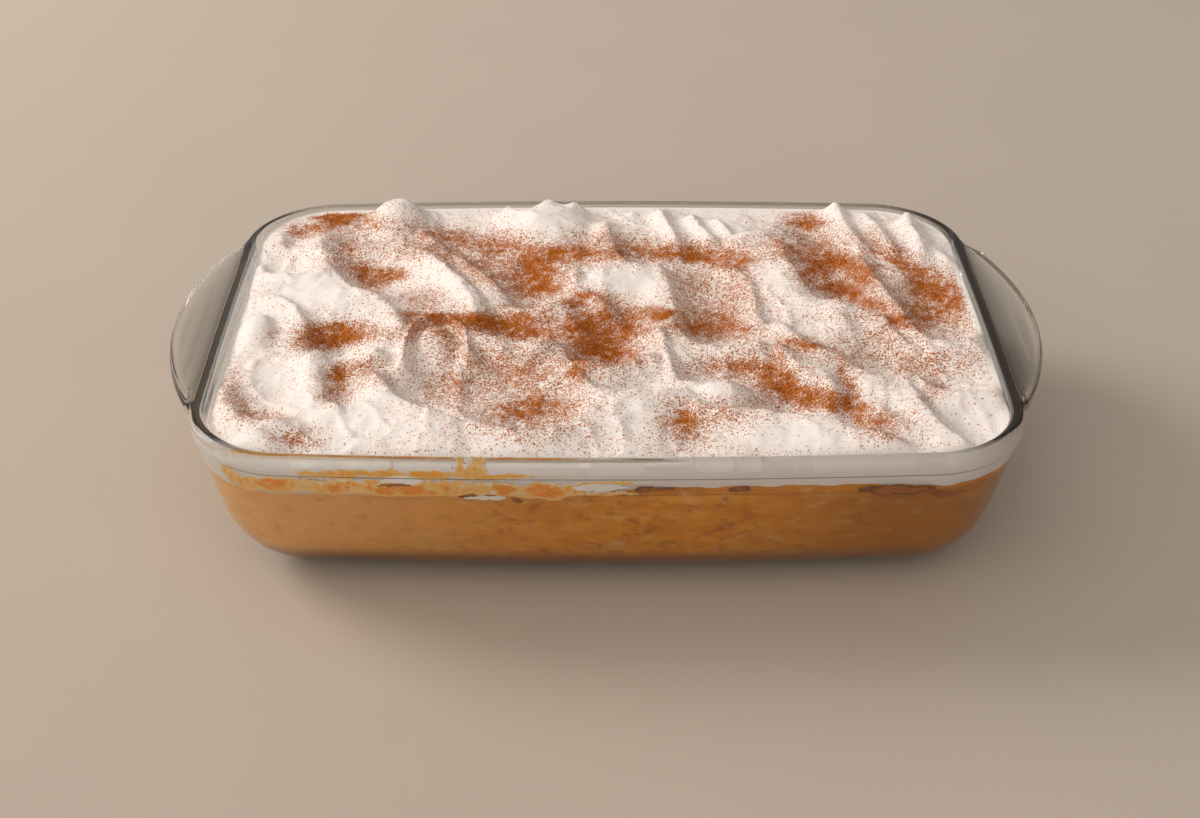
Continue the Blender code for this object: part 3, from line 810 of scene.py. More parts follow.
# %% Hollows, mounds and peaks
# x, y of the lowest point, half width, near reach, far reach, turn, how deep it is dug
HOLLOWS = (
    (-135, 45, 12, 8, 16, 0, 6.0),
    (-133, 71, 8, 8, 16, 0, 4.5),
    (-97, 32, 15, 13, 34, 19, 6.0),
    (-108, -24, 10, 9, 17, 8, 10.0),
    (-100, -61, 8, 9, 20, 8, 6.5),
    (-130, -66, 16, 14, 28, 0, 3.0),
    (-67, -63, 20, 9, 18, -45, 5.0),
    (-40, -12, 19, 8, 18, -22, 7.5),
    (-29, 18, 13, 10, 34, 5, 9.0),
    (-50, 52, 26, 14, 22, -60, 4.0),
    (-3, -31, 14, 10, 32, -18, 11.0),
    (-23, -77, 17, 10, 28, 0, 6.5),
    (-46, -52, 12, 24, 24, 0, 2.5),
    (15, 52, 8, 9, 26, 20, 5.0),
    (44, -13, 15, 11, 44, 3, 6.5),
    (40, 53, 22, 8, 13, 0, 4.5),
    (90, 77, 10, 9, 16, 0, 5.0),
    (96, 20, 13, 12, 32, -5, 8.0),
    (90, 43, 10, 8, 16, -50, 8.0),
    (137, -10, 12, 10, 48, 0, 7.0),
    (124, -50, 24, 10, 28, 0, 3.5),
    (105, -36, 13, 9, 22, 0, 3.0),
    (136, -84, 15, 14, 20, 0, 4.0),
    (71, -70, 12, 10, 24, 5, 9.0),
    (92, -80, 6, 10, 32, 0, 4.5),
    (42, -46, 16, 9, 20, 0, 4.5),
    (11, -54, 13, 8, 12, 0, 3.0),
    (28, -92, 9, 14, 28, 0, 2.5),
    (82, -8, 9, 8, 11, 0, 2.0),
    (-67, -38, 9, 14, 14, 0, 2.0),
)

# x, y, half length, half width, turn, rise
MOUNDS = (
    (-92, 90, 13, 16, 0, 13.0),
    (-26, 84, 20, 18, 0, 9.5),
    (-140, -11, 8, 14, 0, 6.5),
    (-129, -96, 11, 9, 0, 6.0),
    (43, -62, 13, 9, 0, 7.5),
    (-13, 33, 5, 8, 0, 8.5),
    (-67, -24, 9, 17, 6, 7.6),
)

# x, y, radius of the foot, rise
PEAKS = (
    (-44, 95, 5, 7.0),
    (-25, 97, 7, 6.0),
    (-12, 96, 6, 8.0),
    (13, 96, 5, 4.0),
    (25, 98, 6, 4.0),
    (103, 97, 8, 8.0),
    (135, 85, 6, 5.0),
    (-12, 22, 5, 3.0),
)
print("hollows:", len(HOLLOWS), "mounds:", len(MOUNDS), "peaks:", len(PEAKS))

# %% [markdown]
# ### Merging crests, mounds and hollows
#
# Each rule works on whole arrays of places at once, so a surface of 80,000 points takes a second or
# two. A crest's curve is walked in short straight steps, and each place takes the nearest of them.

# %% Merging crests, mounds and hollows
def soft_min(a, b, soft):
    """The lower of two surfaces, with the edge between them rounded."""
    share = np.clip(0.5 + 0.5 * (b - a) / soft, 0.0, 1.0)
    return b + (a - b) * share - soft * share * (1.0 - share)


def soft_max(a, b, soft):
    """The higher of two surfaces, with the valley between them rounded."""
    return -soft_min(-a, -b, soft)


def turned(x, y, x0, y0, turn):
    """Places relative to a point, in axes turned by some degrees."""
    c = math.cos(math.radians(turn))
    s = math.sin(math.radians(turn))
    return c * (x - x0) + s * (y - y0), -s * (x - x0) + c * (y - y0)


def fold_height(x, y, first, middle, last, rise, left, right):
    """A crest along the curve through three places, with a slope of its own reach on each side."""
    t = np.linspace(0.0, 1.0, FOLD_STEPS + 1)
    w = np.stack([(1 - t) * (1 - 2 * t), 4 * t * (1 - t), t * (2 * t - 1)])
    px = w[0] * first[0] + w[1] * middle[0] + w[2] * last[0]
    py = w[0] * first[1] + w[1] * middle[1] + w[2] * last[1]
    nearest = np.full_like(x, 1e9)
    side = np.zeros_like(x)
    for k in range(FOLD_STEPS):
        dx = px[k + 1] - px[k]
        dy = py[k + 1] - py[k]
        run = math.hypot(dx, dy)
        s = np.clip(((x - px[k]) * dx + (y - py[k]) * dy) / run ** 2, 0.0, 1.0)
        ex = x - px[k] - s * dx
        ey = y - py[k] - s * dy
        d = np.hypot(ex, ey)
        nearer = d < nearest
        nearest = np.where(nearer, d, nearest)
        side = np.where(nearer, (dx * ey - dy * ex) / (run * np.maximum(d, 1e-6)), side)
    reach = right + (left - right) * (0.5 + 0.5 * side)
    edge = np.exp(-CREST_FALL * (np.hypot(nearest, CREST_ROUND) - CREST_ROUND) / reach)
    slope = (1.0 + (nearest / reach) ** 2) ** -SLOPE_FALL
    return rise * (CREST_SHARE * edge + (1.0 - CREST_SHARE) * slope)


top_x, top_y = (np.array([place], float) for place in FOLDS[0][1])
print("top of the first crest, mm:", round(float(fold_height(top_x, top_y, *FOLDS[0])[0]), 1))

# %% [markdown]
# ### The height of the cream
#
# Crests and mounds are merged, hollows dug, and peaks added. The sheet is held a little above the
# sponge, and rounded down to the glass at its edge, which lies higher at the back than at the front.

# %% The height of the cream
def to_glass(x, y):
    """Distance from a place to the dish's inner wall, in millimetres."""
    half_x = (RIM_HALF_LENGTH - LIP_RADIUS) / MM
    half_y = (RIM_HALF_WIDTH - LIP_RADIUS) / MM
    radius = (RIM_CORNER_RADIUS - LIP_RADIUS) / MM
    bow_x = BOW_OF_SHORT_SIDES / MM * (1.0 - (y / half_y) ** 2)
    bow_y = BOW_OF_LONG_SIDES / MM * (1.0 - (x / half_x) ** 2)
    past_x = np.abs(x) - half_x - bow_x + radius
    past_y = np.abs(y) - half_y - bow_y + radius
    outside = np.hypot(np.maximum(past_x, 0.0), np.maximum(past_y, 0.0))
    return radius - outside - np.minimum(np.maximum(past_x, past_y), 0.0)


def cream_height(x, y):
    """Height of the finished cream above the rim, in millimetres."""
    z = np.zeros_like(x)
    for first, middle, last, rise, left, right in FOLDS:
        z = soft_max(z, fold_height(x, y, first, middle, last, rise, left, right), CREAM_SOFTNESS)
    for x0, y0, length, width, turn, rise in MOUNDS:
        u, v = turned(x, y, x0, y0, turn)
        mound = rise * np.exp(-((u / length) ** 2 + (v / width) ** 2) ** MOUND_FLATNESS)
        z = soft_max(z, mound, CREAM_SOFTNESS)
    z = z + CREAM_REST
    for x0, y0, wide, near, far, turn, dig in HOLLOWS:
        u, v = turned(x, y, x0, y0, turn)
        reach = np.where(v < 0.0, near, far)
        z = z - dig * np.exp(-((u / wide) ** 2 + (v / reach) ** 2) ** HOLLOW_FLATNESS)
    for x0, y0, foot, rise in PEAKS:
        away = np.hypot(x - x0, y - y0) / foot
        z = z + rise * np.exp(-PEAK_FALL * np.hypot(away, PEAK_ROUND))
    lowest = (cream_line(x * MM) - RIM_HEIGHT) / MM + THINNEST_CREAM
    z = soft_max(z, lowest, CREAM_SOFTNESS)
    front = CREAM_EDGE + CREAM_EDGE_TILT * x * MM / RIM_HALF_LENGTH
    rise_start, rise_end = CREAM_EDGE_RISES
    backness = np.clip((y - rise_start) / (rise_end - rise_start), 0.0, 1.0)
    edge = front + (CREAM_EDGE_BACK - front) * backness
    share = np.exp(-np.maximum(to_glass(x, y), 0.0) / CREAM_EDGE_REACH)
    return z + (edge - z) * share


print("height at the middle, mm:", round(float(cream_height(np.zeros(1), np.zeros(1))[0]), 2))

# %% [markdown]
# ## Ripples in the cream
#
# Between the crests whipped cream is never quite smooth: a spoon leaves faint ridges, and small
# bubbles break its skin. A sheet of random heights, smoothed between its points, gives ripples of
# any size. Three sizes are added, each turned so that their rows don't line up. Where such a sheet
# crosses zero, a ridge is raised, sharp along its top like the edge that a spoon leaves. Near the
# glass the cream was smoothed down, so both fade out there.

# %% Ripples in the cream
LATTICE = 256
# Size and depth in millimetres, turn in degrees, and seed
RIPPLES = ((9.0, 0.45, 20, 1), (4.4, 0.30, 65, 2), (2.2, 0.17, 110, 3))
RIDGES = ((15.0, 1.1, 30, 5), (7.0, 0.55, 75, 6), (3.6, 0.20, 140, 7))
RIDGE_WANDER = 0.3
RIDGE_LENGTHENED = 0.6
RIDGE_SHARPNESS = 6
RIDGE_MIDDLE = 0.3


def ripples(x, y, size, seed):
    """Smooth random heights between -1 and 1, in bumps of about the size given."""
    heights = np.random.default_rng(seed).uniform(-1.0, 1.0, (LATTICE, LATTICE))
    i = np.floor(x / size).astype(int)
    j = np.floor(y / size).astype(int)
    a = x / size - i
    b = y / size - j
    a = a * a * (3.0 - 2.0 * a)
    b = b * b * (3.0 - 2.0 * b)
    here, right = i % LATTICE, (i + 1) % LATTICE
    near, far = j % LATTICE, (j + 1) % LATTICE
    low = heights[here, near] * (1 - a) + heights[right, near] * a
    high = heights[here, far] * (1 - a) + heights[right, far] * a
    return low * (1 - b) + high * b


def cream_surface(x, y):
    """Height of the cream above the rim with its ripples and ridges, in millimetres."""
    rough = np.zeros_like(x)
    for size, depth, turn, seed in RIPPLES:
        u, v = turned(x, y, 0.0, 0.0, turn)
        rough = rough + depth * ripples(u, v, size, seed)
    for size, depth, turn, seed in RIDGES:
        u, v = turned(x, y, 0.0, 0.0, turn)
        u = u + RIDGE_WANDER * size * ripples(u, v, size, seed + 10)
        sharp = 1.0 - np.abs(ripples(u, RIDGE_LENGTHENED * v, size, seed))
        rough = rough + depth * (sharp ** RIDGE_SHARPNESS - RIDGE_MIDDLE)
    calm = np.exp(-np.maximum(to_glass(x, y), 0.0) / CREAM_EDGE_REACH)
    return cream_height(x, y) + rough * (1.0 - calm)


print("deepest relief added, mm:", round(sum(depth for _, depth, _, _ in RIPPLES + RIDGES), 2))

# %% [markdown]
# ## The whipped cream
#
# A fine grid is laid over the dish. Faces beyond the glass are deleted, and the edge that is left is
# drawn to the wall exactly. The grid then takes the cream's heights. Its edge is extruded down the
# glass to the sponge, pressed a little into it, and a last face closes the underside.

# %% The whipped cream
CREAM_CELL = 0.0009
half_x = RIM_HALF_LENGTH + 2 * CREAM_CELL
half_y = RIM_HALF_WIDTH + BOW_OF_LONG_SIDES + 2 * CREAM_CELL
columns = round(2 * half_x / CREAM_CELL)
rows = round(2 * half_y / CREAM_CELL)


def read_places(mesh):
    """All corners of a mesh, one row each."""
    values = np.empty(len(mesh.vertices) * 3)
    mesh.vertices.foreach_get("co", values)
    return values.reshape(-1, 3)


def write_places(mesh, values):
    """All corners of a mesh go to the places given."""
    mesh.vertices.foreach_set("co", values.astype(np.float32).ravel())
    mesh.update()


bpy.ops.object.select_all(action="DESELECT")
bpy.ops.mesh.primitive_grid_add(x_subdivisions=columns, y_subdivisions=rows, size=2.0)
cream = bpy.context.object
cream.name = "cream"
cream.data.name = "cream"
flat = read_places(cream.data) * (half_x, half_y, 0.0)
write_places(cream.data, flat)
inside = to_glass(flat[:, 0] / MM, flat[:, 1] / MM)
corners = np.empty(len(cream.data.polygons) * 4, int)
cream.data.polygons.foreach_get("vertices", corners)
beyond = inside[corners.reshape(-1, 4)].mean(axis=1) < 0.0
bpy.ops.object.mode_set(mode="EDIT")
bpy.ops.mesh.select_mode(type="FACE")
bpy.ops.mesh.select_all(action="DESELECT")
bpy.ops.object.mode_set(mode="OBJECT")
cream.data.polygons.foreach_set("select", beyond)
bpy.ops.object.mode_set(mode="EDIT")
bpy.ops.mesh.delete(type="FACE")
bpy.ops.mesh.select_mode(type="VERT")
bpy.ops.mesh.select_all(action="DESELECT")
bpy.ops.mesh.select_non_manifold(extend=False)
bpy.ops.object.mode_set(mode="OBJECT")
edge = np.empty(len(cream.data.vertices), bool)
cream.data.vertices.foreach_get("select", edge)
print("grid:", columns, "by", rows, "edge corners:", int(edge.sum()))

# %% [markdown]
# ### The edge goes to the glass
#
# The distance to the wall also tells its direction: it grows fastest straight away from the glass.
# Moving each edge corner along that direction by its distance puts it on the wall.

# %% The edge goes to the glass
STEP = 0.01


def drawn_to_glass(x, y, press):
    """Places moved straight to the glass and a little into it, in millimetres."""
    for _ in range(3):
        away = to_glass(x, y) + press
        slope_x = (to_glass(x + STEP, y) - to_glass(x - STEP, y)) / (2 * STEP)
        slope_y = (to_glass(x, y + STEP) - to_glass(x, y - STEP)) / (2 * STEP)
        steepness = np.maximum(slope_x ** 2 + slope_y ** 2, 1e-6)
        x = x - away * slope_x / steepness
        y = y - away * slope_y / steepness
    return x, y


flat = read_places(cream.data)
edge_x, edge_y = drawn_to_glass(flat[edge, 0] / MM, flat[edge, 1] / MM, PRESS / MM)
flat[edge, 0] = edge_x * MM
flat[edge, 1] = edge_y * MM
flat[:, 2] = RIM_HEIGHT + cream_surface(flat[:, 0] / MM, flat[:, 1] / MM) * MM
write_places(cream.data, flat)
print("cream from", round(flat[:, 2].min() / MM, 1), "to", round(flat[:, 2].max() / MM, 1), "mm")

# %% [markdown]
# ### Down the glass
#
# Two rings go down from the edge: one where the wall starts to slope, one below the lowest place of
# the sponge's top edge. The lower one leans inwards with the wall, and a tenth of a millimetre more,
# so that it stays inside the sponge at the dish's round corners too. The sponge is pressed further
# into the glass, so it hides the cream that lies behind it.

# %% Down the glass
UNDER_SPONGE = 0.0030
CORNER_ALLOWANCE = 0.0001
SHARPEST_CREAM_TURN = math.radians(60)


def lower_edge(level, lean):
    """Extrude the edge down to a height, leaning inwards from the upper wall."""
    bpy.ops.object.mode_set(mode="EDIT")
    bpy.ops.mesh.extrude_edges_move()
    bpy.ops.object.mode_set(mode="OBJECT")
    chosen = np.empty(len(cream.data.vertices), bool)
    cream.data.vertices.foreach_get("select", chosen)
    values = read_places(cream.data)
    x, y = drawn_to_glass(values[chosen, 0] / MM, values[chosen, 1] / MM, PRESS / MM - lean / MM)
    values[chosen, 0] = x * MM
    values[chosen, 1] = y * MM
    values[chosen, 2] = level(values[chosen, 0])
    write_places(cream.data, values)


lower_edge(lambda x: np.full_like(x, WALL_TOP), 0.0)
wall_lean = wall_offset(WALL_TOP, True) - wall_offset(CREAM_LINE - UNDER_SPONGE, True)
lower_edge(lambda x: cream_line(x) - UNDER_SPONGE, wall_lean + CORNER_ALLOWANCE)
bpy.ops.object.mode_set(mode="EDIT")
bpy.ops.mesh.edge_face_add()
bpy.ops.mesh.select_all(action="SELECT")
bpy.ops.mesh.normals_make_consistent(inside=False)
bpy.ops.object.mode_set(mode="OBJECT")
bpy.ops.object.shade_smooth_by_angle(angle=SHARPEST_CREAM_TURN)
print("cream triangles:", sum(len(p.vertices) - 2 for p in cream.data.polygons))

# %% [markdown]
# ## Where the cinnamon fell
#
# Ground cinnamon was dusted from above in patches: thick in some hollows, thin on the crests, and
# none where the spoon folded the cream afterwards. Each patch has a place, two half sizes, a turn
# and a strength, given where the camera sees it.

# %% Where the cinnamon fell
DUST_ALL_OVER = 0.045
DUST_UNEVENNESS = 0.8
DUST_UNEVENNESS_SIZE = 16.0
DUST_DRIFT = 2.2
DUST_DRIFT_SIZE = 7.0
PATCH_FLATNESS = 1.05
BARE_FLATNESS = 2
DUST_THICKENING = 0.5
# How strong, how large in millimetres, and seed
DUST_CLUMPS = ((0.20, 3.2, 13), (0.20, 1.5, 14))
# Clean cream along the glass, and how far in the dust is thinned, in millimetres
CLEAN_EDGE = 0.8
CLEAN_EDGE_FADE = 2.5

# x, y, half length, half width, turn, strength
DUSTINGS = (
    (-119, 93, 14, 9, -10, 1.0),
    (-128, 80, 9, 7, 0, 0.6),
    (-134, 75, 4, 7, 0, 0.5),
    (-103, 83, 14, 8, -20, 0.3),
    (-112, 60, 9, 15, 15, 0.5),
    (-103, 42, 9, 9, 0, 0.6),
    (-99, 30, 9, 9, -30, 0.85),
    (-90, 36, 5, 6, 0, 0.75),
    (-85, 60, 18, 7, -10, 0.3),
    (-108, -13, 12, 7, -5, 0.9),
    (-108, -21, 12, 6, 5, 1.0),
    (-90, -15, 12, 6, -25, 0.35),
    (-103, -50, 6, 9, 0, 0.75),
    (-95, -42, 9, 6, 30, 0.45),
    (-103, -62, 6, 8, 0, 0.5),
    (-122, -17, 9, 9, 0, 0.3),
    (-143, -55, 4, 14, 5, 0.35),
    (-137, -72, 4, 9, 30, 0.4),
    (-128, -79, 9, 4, 0, 0.35),
    (-114, -95, 8, 7, 0, 0.5),
    (-60, 50, 30, 12, -35, 0.4),
    (-68, 72, 22, 8, -25, 0.6),
    (-45, 60, 10, 10, 0, 0.5),
    (-30, 45, 10, 16, 10, 0.95),
    (-28, 25, 11, 12, 5, 0.95),
    (-20, 57, 12, 5, 25, 0.8),
    (-75, 15, 12, 10, 0, 0.4),
    (-62, -2, 16, 5, -5, 0.8),
    (-48, -8, 14, 6, -15, 0.9),
    (-32, -16, 11, 5, -10, 0.95),
    (-78, -8, 5, 12, 0, 0.6),
    (-66, -12, 7, 8, 0, 0.5),
    (-62, -25, 10, 12, 0, 0.35),
    (-3, -27, 9, 12, -15, 1.0),
    (4, -12, 16, 14, 0, 0.75),
    (-12, -12, 7, 12, -20, 0.85),
    (24, 0, 5, 4, 0, 1.0),
    (14, 0, 12, 6, 10, 0.6),
    (-13, 10, 5, 4, 0, 0.85),
    (-8, 17, 4, 4, 0, 0.8),
    (0, 10, 10, 10, 0, 0.5),
    (-30, -50, 28, 20, 0, 0.45),
    (-25, -75, 20, 9, 8, 0.7),
    (-12, -45, 4, 10, 10, 0.7),
    (-45, -35, 14, 12, 0, 0.3),
    (42, 0, 17, 14, 0, 0.5),
    (40, -12, 15, 7, 0, 0.5),
    (35, 28, 10, 14, 0, 0.4),
    (40, 54, 20, 7, -8, 0.8),
    (55, 48, 9, 9, -40, 0.55),
    (10, 60, 12, 10, 0, 0.55),
    (-5, 72, 14, 10, 0, 0.35),
    (-5, 52, 12, 6, 0, 0.55),
    (90, 87, 10, 9, 0, 0.75),
    (92, 68, 12, 10, 0, 0.45),
    (98, 48, 15, 8, -15, 0.9),
    (88, 38, 9, 6, 20, 0.9),
    (97, 22, 14, 8, -30, 0.85),
    (108, 35, 8, 14, 0, 0.75),
    (108, 8, 10, 6, -30, 0.7),
    (120, 60, 10, 10, 0, 0.5),
    (127, 48, 5, 8, 0, 0.7),
    (138, 18, 13, 28, 8, 0.75),
    (134, 28, 8, 14, 0, 0.6),
    (118, -6, 8, 6, -40, 0.75),
    (70, -57, 12, 8, -10, 1.0),
    (62, -45, 14, 10, 0, 0.6),
    (85, -70, 22, 7, -28, 0.75),
    (92, -58, 4, 20, 5, 0.7),
    (100, -87, 10, 7, -40, 0.6),
    (77, -25, 9, 6, -20, 0.7),
    (70, -70, 14, 6, 0, 0.5),
    (45, -42, 18, 8, 10, 0.45),
    (103, -30, 16, 14, 0, 0.35),
    (118, -40, 8, 10, 0, 0.45),
    (125, -60, 5, 14, -20, 0.4),
    (135, -38, 16, 10, 0, 0.3),
    (28, -83, 8, 16, 5, 0.75),
    (45, -78, 8, 12, 0, 0.4),
    (-32, -4, 24, 13, 0, 0.55),
    (4, -33, 12, 8, -10, 0.7),
    (-15, 55, 12, 10, 0, 0.5),
    (22, 55, 12, 9, 0, 0.45),
    (40, 64, 24, 10, 0, 0.35),
    (78, 60, 12, 14, 0, 0.4),
    (94, 55, 10, 10, 0, 0.45),
    (116, 74, 10, 9, 0, 0.25),
    (-46, 72, 12, 9, 0, 0.3),
    (-40, 34, 16, 12, 0, 0.45),
    (55, 22, 12, 22, 0, 0.35),
    (50, -16, 16, 10, 0, 0.35),
    (120, 12, 10, 14, 0, 0.3),
    (131, 0, 12, 10, 0, 0.5),
    (98, 0, 12, 9, 0, 0.25),
    (113, -17, 12, 8, 0, 0.3),
    (72, -33, 20, 9, 0, 0.3),
    (-60, -58, 12, 16, 0, 0.35),
    (-28, -84, 20, 12, 0, 0.35),
    (-91, -49, 8, 9, 0, 0.25),
)

# Places that were left white, in the same order
BARE_PLACES = (
    (11, 29, 12, 14, 0, 0.9),
    (-118, 22, 20, 16, -25, 1.0),
    (-95, -80, 14, 9, -10, 0.7),
    (70, 35, 9, 14, 0, 0.6),
    (-25, 92, 22, 14, 0, 0.9),
    (-66, 32, 6, 26, 30, 0.85),
    (-140, -10, 8, 12, 0, 0.8),
    (136, -78, 16, 16, 0, 0.7),
    (2, -76, 22, 14, 10, 0.5),
    (70, -95, 26, 10, -10, 0.75),
    (-75, -85, 30, 12, -20, 0.5),
    (-118, -62, 14, 18, 10, 0.5),
    (95, 8, 12, 6, -20, 0.3),
    (79, -42, 9, 14, 15, 0.5),
    (42, -60, 12, 6, 0, 0.7),
    (45, 85, 22, 14, 0, 0.7),
    (145, 62, 10, 20, 0, 0.7),
    (110, 98, 12, 10, 0, 0.7),
)
print("patches:", len(DUSTINGS), "bare places:", len(BARE_PLACES))

# %% [markdown]
# ### How much cinnamon lies at a place
#
# The rule first works out where the camera sees each point of the cream on the level of the rim. It
# then lays the patches over each other, clears the bare places, and breaks the result into clumps.
# Random drifts in two directions keep the patches from looking like ovals.

# %% How much cinnamon lies at a place
def seen_from_camera(x, y, z):
    """Where the camera's ray through a place crosses the level of the rim, in millimetres."""
    eye_x, eye_y = CAMERA_PLACE.x / MM, CAMERA_PLACE.y / MM
    eye_z = (CAMERA_PLACE.z - RIM_HEIGHT) / MM
    reach = eye_z / (eye_z - z)
    return eye_x + (x - eye_x) * reach, eye_y + (y - eye_y) * reach


def cinnamon_share(x, y, z):
    """How much of the cream is covered by cinnamon at a place, from 0 to 1."""
    sx, sy = seen_from_camera(x, y, z)
    wx = sx + DUST_DRIFT * ripples(sx, sy, DUST_DRIFT_SIZE, 11)
    wy = sy + DUST_DRIFT * ripples(sx, sy, DUST_DRIFT_SIZE, 12)
    share = DUST_ALL_OVER * (1.0 + DUST_UNEVENNESS * ripples(sx, sy, DUST_UNEVENNESS_SIZE, 15))
    for px, py, length, width, turn, strength in DUSTINGS:
        u, v = turned(wx, wy, px, py, turn)
        patch = strength * np.exp(-((u / length) ** 2 + (v / width) ** 2) ** PATCH_FLATNESS)
        share = share + patch * (1.0 - share)
    for px, py, length, width, turn, strength in BARE_PLACES:
        u, v = turned(wx, wy, px, py, turn)
        bare = strength * np.exp(-((u / length) ** 2 + (v / width) ** 2) ** BARE_FLATNESS)
        share = share * (1.0 - bare)
    share = share * (1.0 + DUST_THICKENING - DUST_THICKENING * share)
    clumps = np.ones_like(sx)
    for strength, size, seed in DUST_CLUMPS:
        clumps = clumps + strength * ripples(sx, sy, size, seed)
    from_glass = np.clip((to_glass(x, y) - CLEAN_EDGE) / CLEAN_EDGE_FADE, 0.0, 1.0)
    return np.clip(share * clumps, 0.0, 1.0) * from_glass


values = read_places(cream.data) / MM
share = cinnamon_share(values[:, 0], values[:, 1], values[:, 2] - RIM_HEIGHT / MM)
# Corners past the grid's own were extruded down the glass, where no cinnamon fell
down_the_glass = np.arange(len(values)) >= len(edge)
share[down_the_glass] = 0.0
dusted = cream.data.attributes.new("cinnamon", "FLOAT", "POINT")
dusted.data.foreach_set("value", share.astype(np.float32))
on_side = cream.data.attributes.new("on_side", "FLOAT", "POINT")
on_side.data.foreach_set("value", down_the_glass.astype(np.float32))
print("average share of cinnamon:", round(float(share.mean()), 3))

# %% [markdown]
# ## Cream and the finest cinnamon
#
# Whipped cream is white with a warm cast, lets a little light into it, and has the dull gloss of
# fat. The finest cinnamon is too small to model, so the material paints it: space is cut into cells
# of about half a millimetre, each cell draws a random number, and where that number is below the
# share of cinnamon there, the cell gets a speck in a brown of its own. Two sizes of speck lie over
# a stain, which shows only where the dusting is thick. Behind the lip, left of the middle, the side
# of the cream is painted whiter.

# %% Cream and the finest cinnamon
CREAM_SHADE = (0.88, 0.805, 0.76)
CREAM_LIGHT = (0.895, 0.84, 0.805)
CREAM_BEHIND_LIP = (0.96, 0.92, 0.88)
DARK_CINNAMON = (0.20, 0.030, 0.001)
LIGHT_CINNAMON = (0.57, 0.190, 0.010)
CINNAMON_VEIL = (0.54, 0.145, 0.006)
LIP_FOOT_BLEND = 0.0003

cream_mat, tree, shader = new_material("whipped_cream")
where = places(tree)
amount = add_node(tree, "ShaderNodeAttribute", {"attribute_name": "cinnamon"}).outputs["Fac"]


def dust(tree, colour, cells_per_metre, amount, gain):
    """Specks laid over a colour, each in its own brown."""
    cells = add_node(tree, "ShaderNodeTexVoronoi", Vector=where, Scale=cells_per_metre)
    drawn = add_node(tree, "ShaderNodeSeparateColor", Color=cells.outputs["Color"])
    limit = math_node(tree, "MULTIPLY", amount, gain)
    chosen = math_node(tree, "LESS_THAN", drawn.outputs["Red"], limit)
    chosen = math_node(tree, "MULTIPLY", chosen, remap(tree, cells.outputs["Distance"], 0.62, 0.52))
    lightness = remap(tree, drawn.outputs["Green"], 0.0, 1.0, 0.5, 1.1, smooth=False)
    lightness = math_node(tree, "SUBTRACT", lightness, math_node(tree, "MULTIPLY", amount, 0.5))
    brown = blend_colours(tree, lightness, DARK_CINNAMON, LIGHT_CINNAMON)
    return blend_colours(tree, chosen, colour, brown)


tone = noise(tree, where, 40.0, 3.0)
colour = blend_colours(tree, tone, CREAM_SHADE, CREAM_LIGHT)
veil = remap(tree, amount, 0.45, 1.05, 0.0, 0.95)
colour = blend_colours(tree, veil, colour, CINNAMON_VEIL)
colour = dust(tree, colour, 2700.0, amount, 0.95)
colour = dust(tree, colour, 1600.0, amount, 0.70)
axes = add_node(tree, "ShaderNodeSeparateXYZ", Vector=where)
above_step = remap(tree, axes.outputs["Z"], WALL_TOP - LIP_FOOT_BLEND, WALL_TOP + LIP_FOOT_BLEND)
behind_lip = add_node(tree, "ShaderNodeAttribute", {"attribute_name": "on_side"}).outputs["Fac"]
behind_lip = math_node(tree, "MULTIPLY", behind_lip, above_step)
behind_lip = math_node(tree, "MULTIPLY", behind_lip, remap(tree, axes.outputs["X"], 0.09, -0.03))
# The side of the cream behind the lip, left of the middle, is painted whiter
colour = blend_colours(tree, behind_lip, colour, CREAM_BEHIND_LIP)
rough = remap(tree, amount, 0.0, 0.6, 0.50, 0.85)
set_values(shader, Base_Color=colour, Roughness=rough, Subsurface_Weight=0.12, Subsurface_Scale=0.0018,
           Subsurface_Radius=(1.0, 0.75, 0.55), Specular_IOR_Level=0.12)
bubbles = noise(tree, where, 700.0, 3.0, 0.6)
add_bump(tree, shader, bubbles, 0.22, 0.0005)
cream.data.materials.append(cream_mat)
hand_in(cream, "whipped_cream")

# %% [markdown]
# ## Grains of cinnamon
#
# The coarser grains stand up from the cream and can be seen one by one. Each is a tiny four-sided
# chip, about 0.25 to 0.6 mm across, lying where the dusting is thick enough. All the grains are one
# mesh, made by repeating one chip's corners at random sizes and turns, from a fixed seed.

# %% Grains of cinnamon
GRAINS = 48000
GRAIN_SMALL = 0.00026
GRAIN_LARGE = 0.00062
TRIES_A_GRAIN = 14
GRAIN_EVENNESS = 0.9
CHIP = np.array(((1.0, 0.0, -0.35), (-0.5, 0.87, -0.35), (-0.5, -0.87, -0.35), (0.0, 0.0, 0.8)))
CHIP_FACES = ((0, 2, 1), (0, 1, 3), (1, 2, 3), (2, 0, 3))

draw = np.random.default_rng(21)
tries = GRAINS * TRIES_A_GRAIN
widest = RIM_HALF_WIDTH + BOW_OF_LONG_SIDES
grain_x = draw.uniform(-RIM_HALF_LENGTH, RIM_HALF_LENGTH, tries) / MM
grain_y = draw.uniform(-widest, widest, tries) / MM
grain_z = cream_surface(grain_x, grain_y)
keep = draw.uniform(0.0, 1.0, tries) < cinnamon_share(grain_x, grain_y, grain_z) ** GRAIN_EVENNESS
keep &= to_glass(grain_x, grain_y) > CLEAN_EDGE
chosen = np.flatnonzero(keep)[:GRAINS]
centres = np.stack([grain_x[chosen], grain_y[chosen], grain_z[chosen]], axis=1) * MM
centres[:, 2] += RIM_HEIGHT
print("grains:", len(centres), "of", int(keep.sum()), "that fell on the cream")

# %% [markdown]
# ### One mesh from one chip
#
# Every chip is turned by two random angles and scaled, then moved to its place. Blender is given all
# corners and faces at once, which is far quicker than thousands of operators.

# %% One mesh from one chip
count = len(centres)
sizes = draw.uniform(GRAIN_SMALL, GRAIN_LARGE, count) * 0.5
